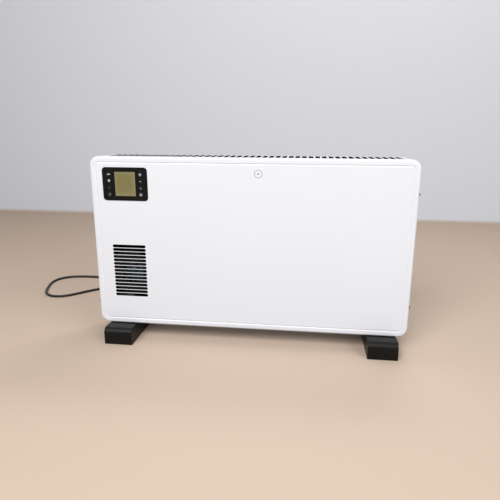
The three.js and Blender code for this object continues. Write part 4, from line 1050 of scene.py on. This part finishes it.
screwSettings = {
    "head": [(0, 2.5), (1.3, 2.48), (2.3, 2.32), (3.1, 1.9), (3.7, 1.15), (3.96, 0.4), (4, 0)],
    "shankRadius": 2, "shankLength": 9, "threadPitch": 0.9, "threadDepth": 0.35, "threadStart": -0.8,
    "threadEnd": 1.6, "ridge": 0.35, "valley": 0.6, "tip": 0.4, "crossLength": 4.6, "crossWidth": 0.95,
    "crossDepth": 1.5, "footScale": 1.12, "footShank": 16, "footHeadHeight": 3,
    "rearPlaces": ((-373.5, 99), (-373.5, 399), (373.5, 99), (373.5, 399)),
}


def makeScrew(screw, headScale, shank):
    head = [(r * headScale, z) for r, z in screw["head"]]
    r = screw["shankRadius"]
    thread = []
    z = screw["threadStart"]
    while z > screw["threadEnd"] - shank:
        thread += [(r, z), (r, z - screw["ridge"]), (r - screw["threadDepth"], z - screw["valley"])]
        z -= screw["threadPitch"]
    tip = screw["tip"]
    profile = [*head, (r, 0), *thread, (r - tip, 1 - shank), (tip, -shank), (0, -shank)]
    piece = turnProfile("screw_model", profile, Matrix.Identity(4), steps=36)
    length, width, deep = screw["crossLength"] / 2, screw["crossWidth"] / 2, screw["crossDepth"]
    for reach, across in ((length, width), (width, length)):
        cutBlock(piece, (-reach, -across, head[0][1] - deep), (reach, across, 4))
    return piece


def placeScrew(model, name, node, place, turn):
    matrix = moveTo(*place) @ turn
    finishPiece(copyPiece(model, name, matrix), "screwBlack", node)


panScrew = makeScrew(screwSettings, 1.0, screwSettings["shankLength"])
footBolt = makeScrew(screwSettings, screwSettings["footScale"], screwSettings["footShank"])
for name, side, number in (
    ("screw_side_left", "left", 1), ("screw_side_right_low", "right", 1), ("screw_side_right_high", "right", 2),
):
    sign = sides[side]
    x = sign * (caseSettings["halfWidth"] + caseSettings["gap"])
    place = (x, caseSettings["screwLine"], caseSettings["screwHeights"][side][number - 1])
    placeScrew(panScrew, name, f"side_screw_{side}_{number}", place, turnBy(sign * 90, "Y"))
for i, (x, z) in enumerate(screwSettings["rearPlaces"], start=1):
    place = (x, caseSettings["back"] + caseSettings["gap"], z)
    placeScrew(panScrew, f"screw_back_{i}", f"rear_screw_{i}", place, turnBy(-90, "X"))
for side in sides:
    for i in (1, 2):
        low, high = boxInMm(f"foot_screw_{side}_{i}")
        place = ((low.x + high.x) / 2, (low.y + high.y) / 2, low.z + screwSettings["footHeadHeight"])
        placeScrew(footBolt, f"bolt_{side}_foot_{i}", f"foot_screw_{side}_{i}", place, turnBy(180, "X"))
for model in (panScrew, footBolt):
    bpy.data.objects.remove(model)
print("screws driven")

# feet: hollow mouldings with a rounded front and back and a stepped seat

footSettings = {
    "centreX": 320, "halfWidth": 35, "halfLength": 100, "lipHeight": 41.7, "seatHeight": 39.7,
    "padHeight": 41.2, "seatReach": 66, "pad": (-41.7, 57), "endRound": 13.7, "edge": 1.5, "wall": 3,
    "hollowHeight": 37.2, "ribPlaces": (-60, 0, 60), "ribWidth": 3, "ribLow": 22.7, "ribHigh": 37.6,
    "boltPlaces": (-30, 30), "boltHoleRadius": 2.4,
}


def makeFoot(foot):
    half, reach, lip = foot["halfWidth"], foot["halfLength"], foot["lipHeight"]
    seatReach, seat = foot["seatReach"], foot["seatHeight"]

    def endsAbove(level):
        return lambda edge: alongAxis(0)(edge) and edge.verts[0].co.z > level * mm

    body = startBlock("foot", (-half, -reach, 0), (half, reach, lip))
    bevelEdges(body, endsAbove(lip - 1), foot["endRound"], 12)
    cutBlock(body, (-half - 5, -seatReach, seat), (half + 5, seatReach, lip + 18.3))
    low, high = foot["pad"]
    cutAway(body, startBlock("pad", (-half, low, seat - 1), (half, high, foot["padHeight"])), "UNION")
    breakEdges(body, foot["edge"], segments=4, angle=50)
    wall, ceiling = foot["wall"], foot["hollowHeight"]
    hollow = startBlock("hollow", (wall - half, wall - reach, -5), (half - wall, reach - wall, ceiling))
    bevelEdges(hollow, endsAbove(ceiling - 1), foot["endRound"], 8)
    cutAway(body, hollow)
    for y in foot["boltPlaces"]:
        drill(body, (0, y, seat - 0.7), foot["boltHoleRadius"], 16, "Z", 28)
    thin = foot["ribWidth"] / 2
    for y in foot["ribPlaces"]:
        rib = startBlock("rib", (thin - half, y - thin, foot["ribLow"]), (half - thin, y + thin, foot["ribHigh"]))
        cutAway(body, rib, "UNION")
    return body


footModel = makeFoot(footSettings)
for side, sign in sides.items():
    foot = copyPiece(footModel, f"stand_{side}", moveTo(sign * footSettings["centreX"], 0, 0))
    finishPiece(foot, "blackMoulded", f"foot_{side}", angle=28)
bpy.data.objects.remove(footModel)
print("feet moulded")

# mains switch on the left side, and the strain relief at the back

switchSettings = {
    "face": -380, "height": 150, "flange": (8.5, 16.6, 1.2), "flangeCorner": 1.6, "flangeRound": 0.6,
    "edge": 0.2, "body": (6.3, 14.4, 22), "well": (5.1, 13.2, 14.3), "pivot": (-373.7, 150), "tilt": 8,
    "rocker": [
        (-7.7, -11.8), (-6.95, -7.6), (-6.45, -3.6), (-6.3, 0), (-6.45, 3.6), (-6.95, 7.6), (-7.7, 11.8),
        (-2.5, 11.8), (4, 5.9), (4, -5.9), (-2.5, -11.8),
    ],
    "rockerRound": 0.5, "halfWidth": 4.8,
    "onMark": ((-7.35, -0.35, 5.6), (-6.7, 0.35, 9.4)),
    "offMark": {"place": (-7.45, 0, -7.6), "lean": 96, "inner": 1.1, "outer": 1.7, "height": 0.6},
}


def makeSwitchFrame(switch):
    x, z = switch["face"], switch["height"]

    def block(name, size, start):
        across, rise, deep = size
        return startBlock(name, (start, -across, z - rise), (x + deep, across, z + rise))

    body = block("switch_frame", switch["body"], x)
    flange = block("flange", switch["flange"], x)
    bevelEdges(flange, alongAxis(0), switch["flangeCorner"], 5)
    bevelEdges(flange, atLevel(0, x), switch["flangeRound"], 3)
    cutAway(body, flange, "UNION")
    cutAway(body, block("well", switch["well"], x - beyond))
    breakEdges(body, switch["edge"])
    finishPiece(body, "blackMoulded", "main_switch_housing")


def makeRocker(switch):
    # a plate with the rocker's outline, extruded across and eased round its edges
    px, pz = switch["pivot"]
    rocker = drawLine("switch_rocker_cap", switch["rocker"], -switch["halfWidth"])
    bpy.ops.mesh.edge_face_add()
    bpy.ops.mesh.extrude_region_move(TRANSFORM_OT_translate={"value": (0, 2 * switch["halfWidth"] * mm, 0)})
    closeShape()
    breakEdges(rocker, switch["rockerRound"], segments=3)
    place = moveTo(px, 0, pz) @ turnBy(switch["tilt"], "Y")
    rocker.data.transform(place)
    finishPiece(rocker, "blackGloss", "main_switch_rocker", body="switch_rocker")
    on = startBlock("switch_marks", *switch["onMark"], 0, 0.2, 2)
    sign = switch["offMark"]
    outline = ringOutline(sign["inner"], sign["outer"], sign["height"])
    off = turnProfile("off", outline, moveTo(*sign["place"]) @ turnBy(sign["lean"], "Y"))
    marks = joinPieces([on, off])
    marks.data.transform(place)
    finishPiece(marks, "printBright", body="switch_rocker")


reliefSettings = {
    "place": (-335, 0, 80),
    "start": [
        (0, 50.5), (8.6, 50.5), (9, 50.9), (9, 55.1), (8.6, 55.5), (6, 55.5), (6, 57.3), (8.5, 57.3), (9, 57.8),
        (9, 58.8), (8.6, 59.3), (7.6, 59.5), (7, 60.3), (6.9, 63),
    ],
    "ribs": 7, "ribStart": 63, "ribPitch": 4.3, "ribDepth": 1.1, "ribRadius": 6.9,
    "narrowing": 1.9 / 31.6,  # of the radius, along the axis
    "tip": [(4.95, 94.6), (4.95, 95.9), (4.6, 96.3), (3.9, 96.3), (3.9, 94), (0, 94)],
}


def makeRelief(relief):
    profile = list(relief["start"])
    for i in range(relief["ribs"]):
        along = i * relief["ribPitch"]
        y = relief["ribStart"] + along
        radius = relief["ribRadius"] - relief["narrowing"] * along
        deep = radius - relief["ribDepth"]
        profile += [(radius, y), (deep, y + 0.5), (deep, y + 1.3), (radius - 0.12, y + 1.8)]
    profile += relief["tip"]
    x, y, z = relief["place"]
    piece = turnProfile("lead_relief", profile, moveTo(x, y, z) @ alongY, steps=48)
    finishPiece(piece, "blackMoulded", "strain_relief", angle=40)


makeSwitchFrame(switchSettings)
makeRocker(switchSettings)
makeRelief(reliefSettings)
print("switch and strain relief fitted")

# CAD parts that keep their shape get their own finish

nodeFinishes = {
    "blackMoulded": ["fan_cover", "fan_housing", "tip_over_switch"],
    "boardGreen": ["control_board", "power_board"],
    "zincSteel": [
        "display_module", "fan_shaft", "fan_motor", "partition_plate", "element_bracket_left",
        "element_bracket_right", "heat_shield_front", "heat_shield_rear",
    ],
    "elementAluminium": ["heating_element_lower", "heating_element_upper"],
    "ceramic": ["element_insulator_left", "element_insulator_right", "thermal_cutout", "terminal_block"],
    "fanTeal": ["fan_impeller"],
    "cordSheath": ["inner_lead"],
}
for finishName, names in nodeFinishes.items():
    for name in names:
        paint(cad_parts[name], finishName)
print("CAD parts finished:", sum(len(names) for names in nodeFinishes.values()))

# floor, wall and light

roomSettings = {
    "floorColour": (0.67, 0.53, 0.42), "wallColour": (0.9, 0.89, 0.93), "thrownColour": (0.27, 0.265, 0.265),
    "wallDistance": 1.6,  # metres behind the origin
    "floorSize": 9.0, "airColour": (0.93, 0.95, 1.0), "airLight": 0.15, "airSeen": 0.66,
    "lamps": {
        "main_lamp": {"place": (-0.6, -2.4, 2.3), "size": 1.8, "energy": 84.0, "colour": (1.0, 0.985, 0.97)},
        "fill_lamp": {"place": (2.2, -2.0, 1.9), "size": 2.0, "energy": 45.0, "colour": (0.97, 0.985, 1.0)},
        "back_lamp": {"place": (0.6, 1.45, 2.5), "size": 0.9, "energy": 24.0, "colour": (1.0, 1.0, 1.0)},
    },
}


def makeRoom(room):
    clearSelection()
    bpy.ops.mesh.primitive_plane_add(size=room["floorSize"], location=(0, 0, 0))
    floor = nameNew("studio_floor")
    floor.data.transform(moveTo(0, (room["wallDistance"] - room["floorSize"] / 2) * 1000, 0))
    editSelect(floor, "EDGE", lambda edge: all(v.co.y > room["wallDistance"] - 0.01 for v in edge.verts))
    bpy.ops.mesh.extrude_region_move(TRANSFORM_OT_translate={"value": (0, 0, room["floorSize"] / 2)})
    leaveEdit()
    return floor


def seenDirectly(tree):
    rays = addNode(tree, "LightPath").outputs
    direct = mathNode("MAXIMUM", rays["Is Camera Ray"], rays["Is Glossy Ray"])
    return mathNode("MAXIMUM", direct, rays["Is Transmission Ray"])


def makeRoomPaint(room):
    # what is seen has the room's warm tones, while the light it throws back stays neutral
    material, tree, shader = newMaterial("roomPaint")
    shader.inputs["Roughness"].default_value = 0.85
    upper = spreadOf(addNode(tree, "SeparateXYZ", {0: objectPlace(tree)}).outputs["Z"], 0.0, 0.02)
    seen = mixColours(upper, (*room["floorColour"], 1), (*room["wallColour"], 1))
    feed(shader.inputs["Base Color"], mixColours(seenDirectly(tree), (*room["thrownColour"], 1), seen))
    return material


def makeAir(room):
    # pale to look at, and a faint light on the object from all round
    world = bpy.data.worlds.new("studio_air")
    world.use_nodes = True
    background = world.node_tree.nodes["Background"]
    background.inputs["Color"].default_value = (*room["airColour"], 1)
    strength = spreadOf(seenDirectly(world.node_tree), 0.0, 1.0, room["airLight"], room["airSeen"])
    feed(background.inputs["Strength"], strength)
    bpy.context.scene.world = world


def makeLamp(name, lamp, target=(0, 0, 0.2)):
    clearSelection()
    bpy.ops.object.light_add(type="AREA", location=lamp["place"])
    light = nameNew(name)
    light.data.size, light.data.energy, light.data.color = lamp["size"], lamp["energy"], lamp["colour"]
    aim = Vector(target) - Vector(lamp["place"])
    light.rotation_euler = aim.to_track_quat("-Z", "Y").to_euler()


studioFloor = makeRoom(roomSettings)
studioFloor.data.materials.append(makeRoomPaint(roomSettings))
for name, lamp in roomSettings["lamps"].items():
    makeLamp(name, lamp)
makeAir(roomSettings)
bpy.context.scene.view_settings.view_transform = "Standard"
print("room and lamps placed")
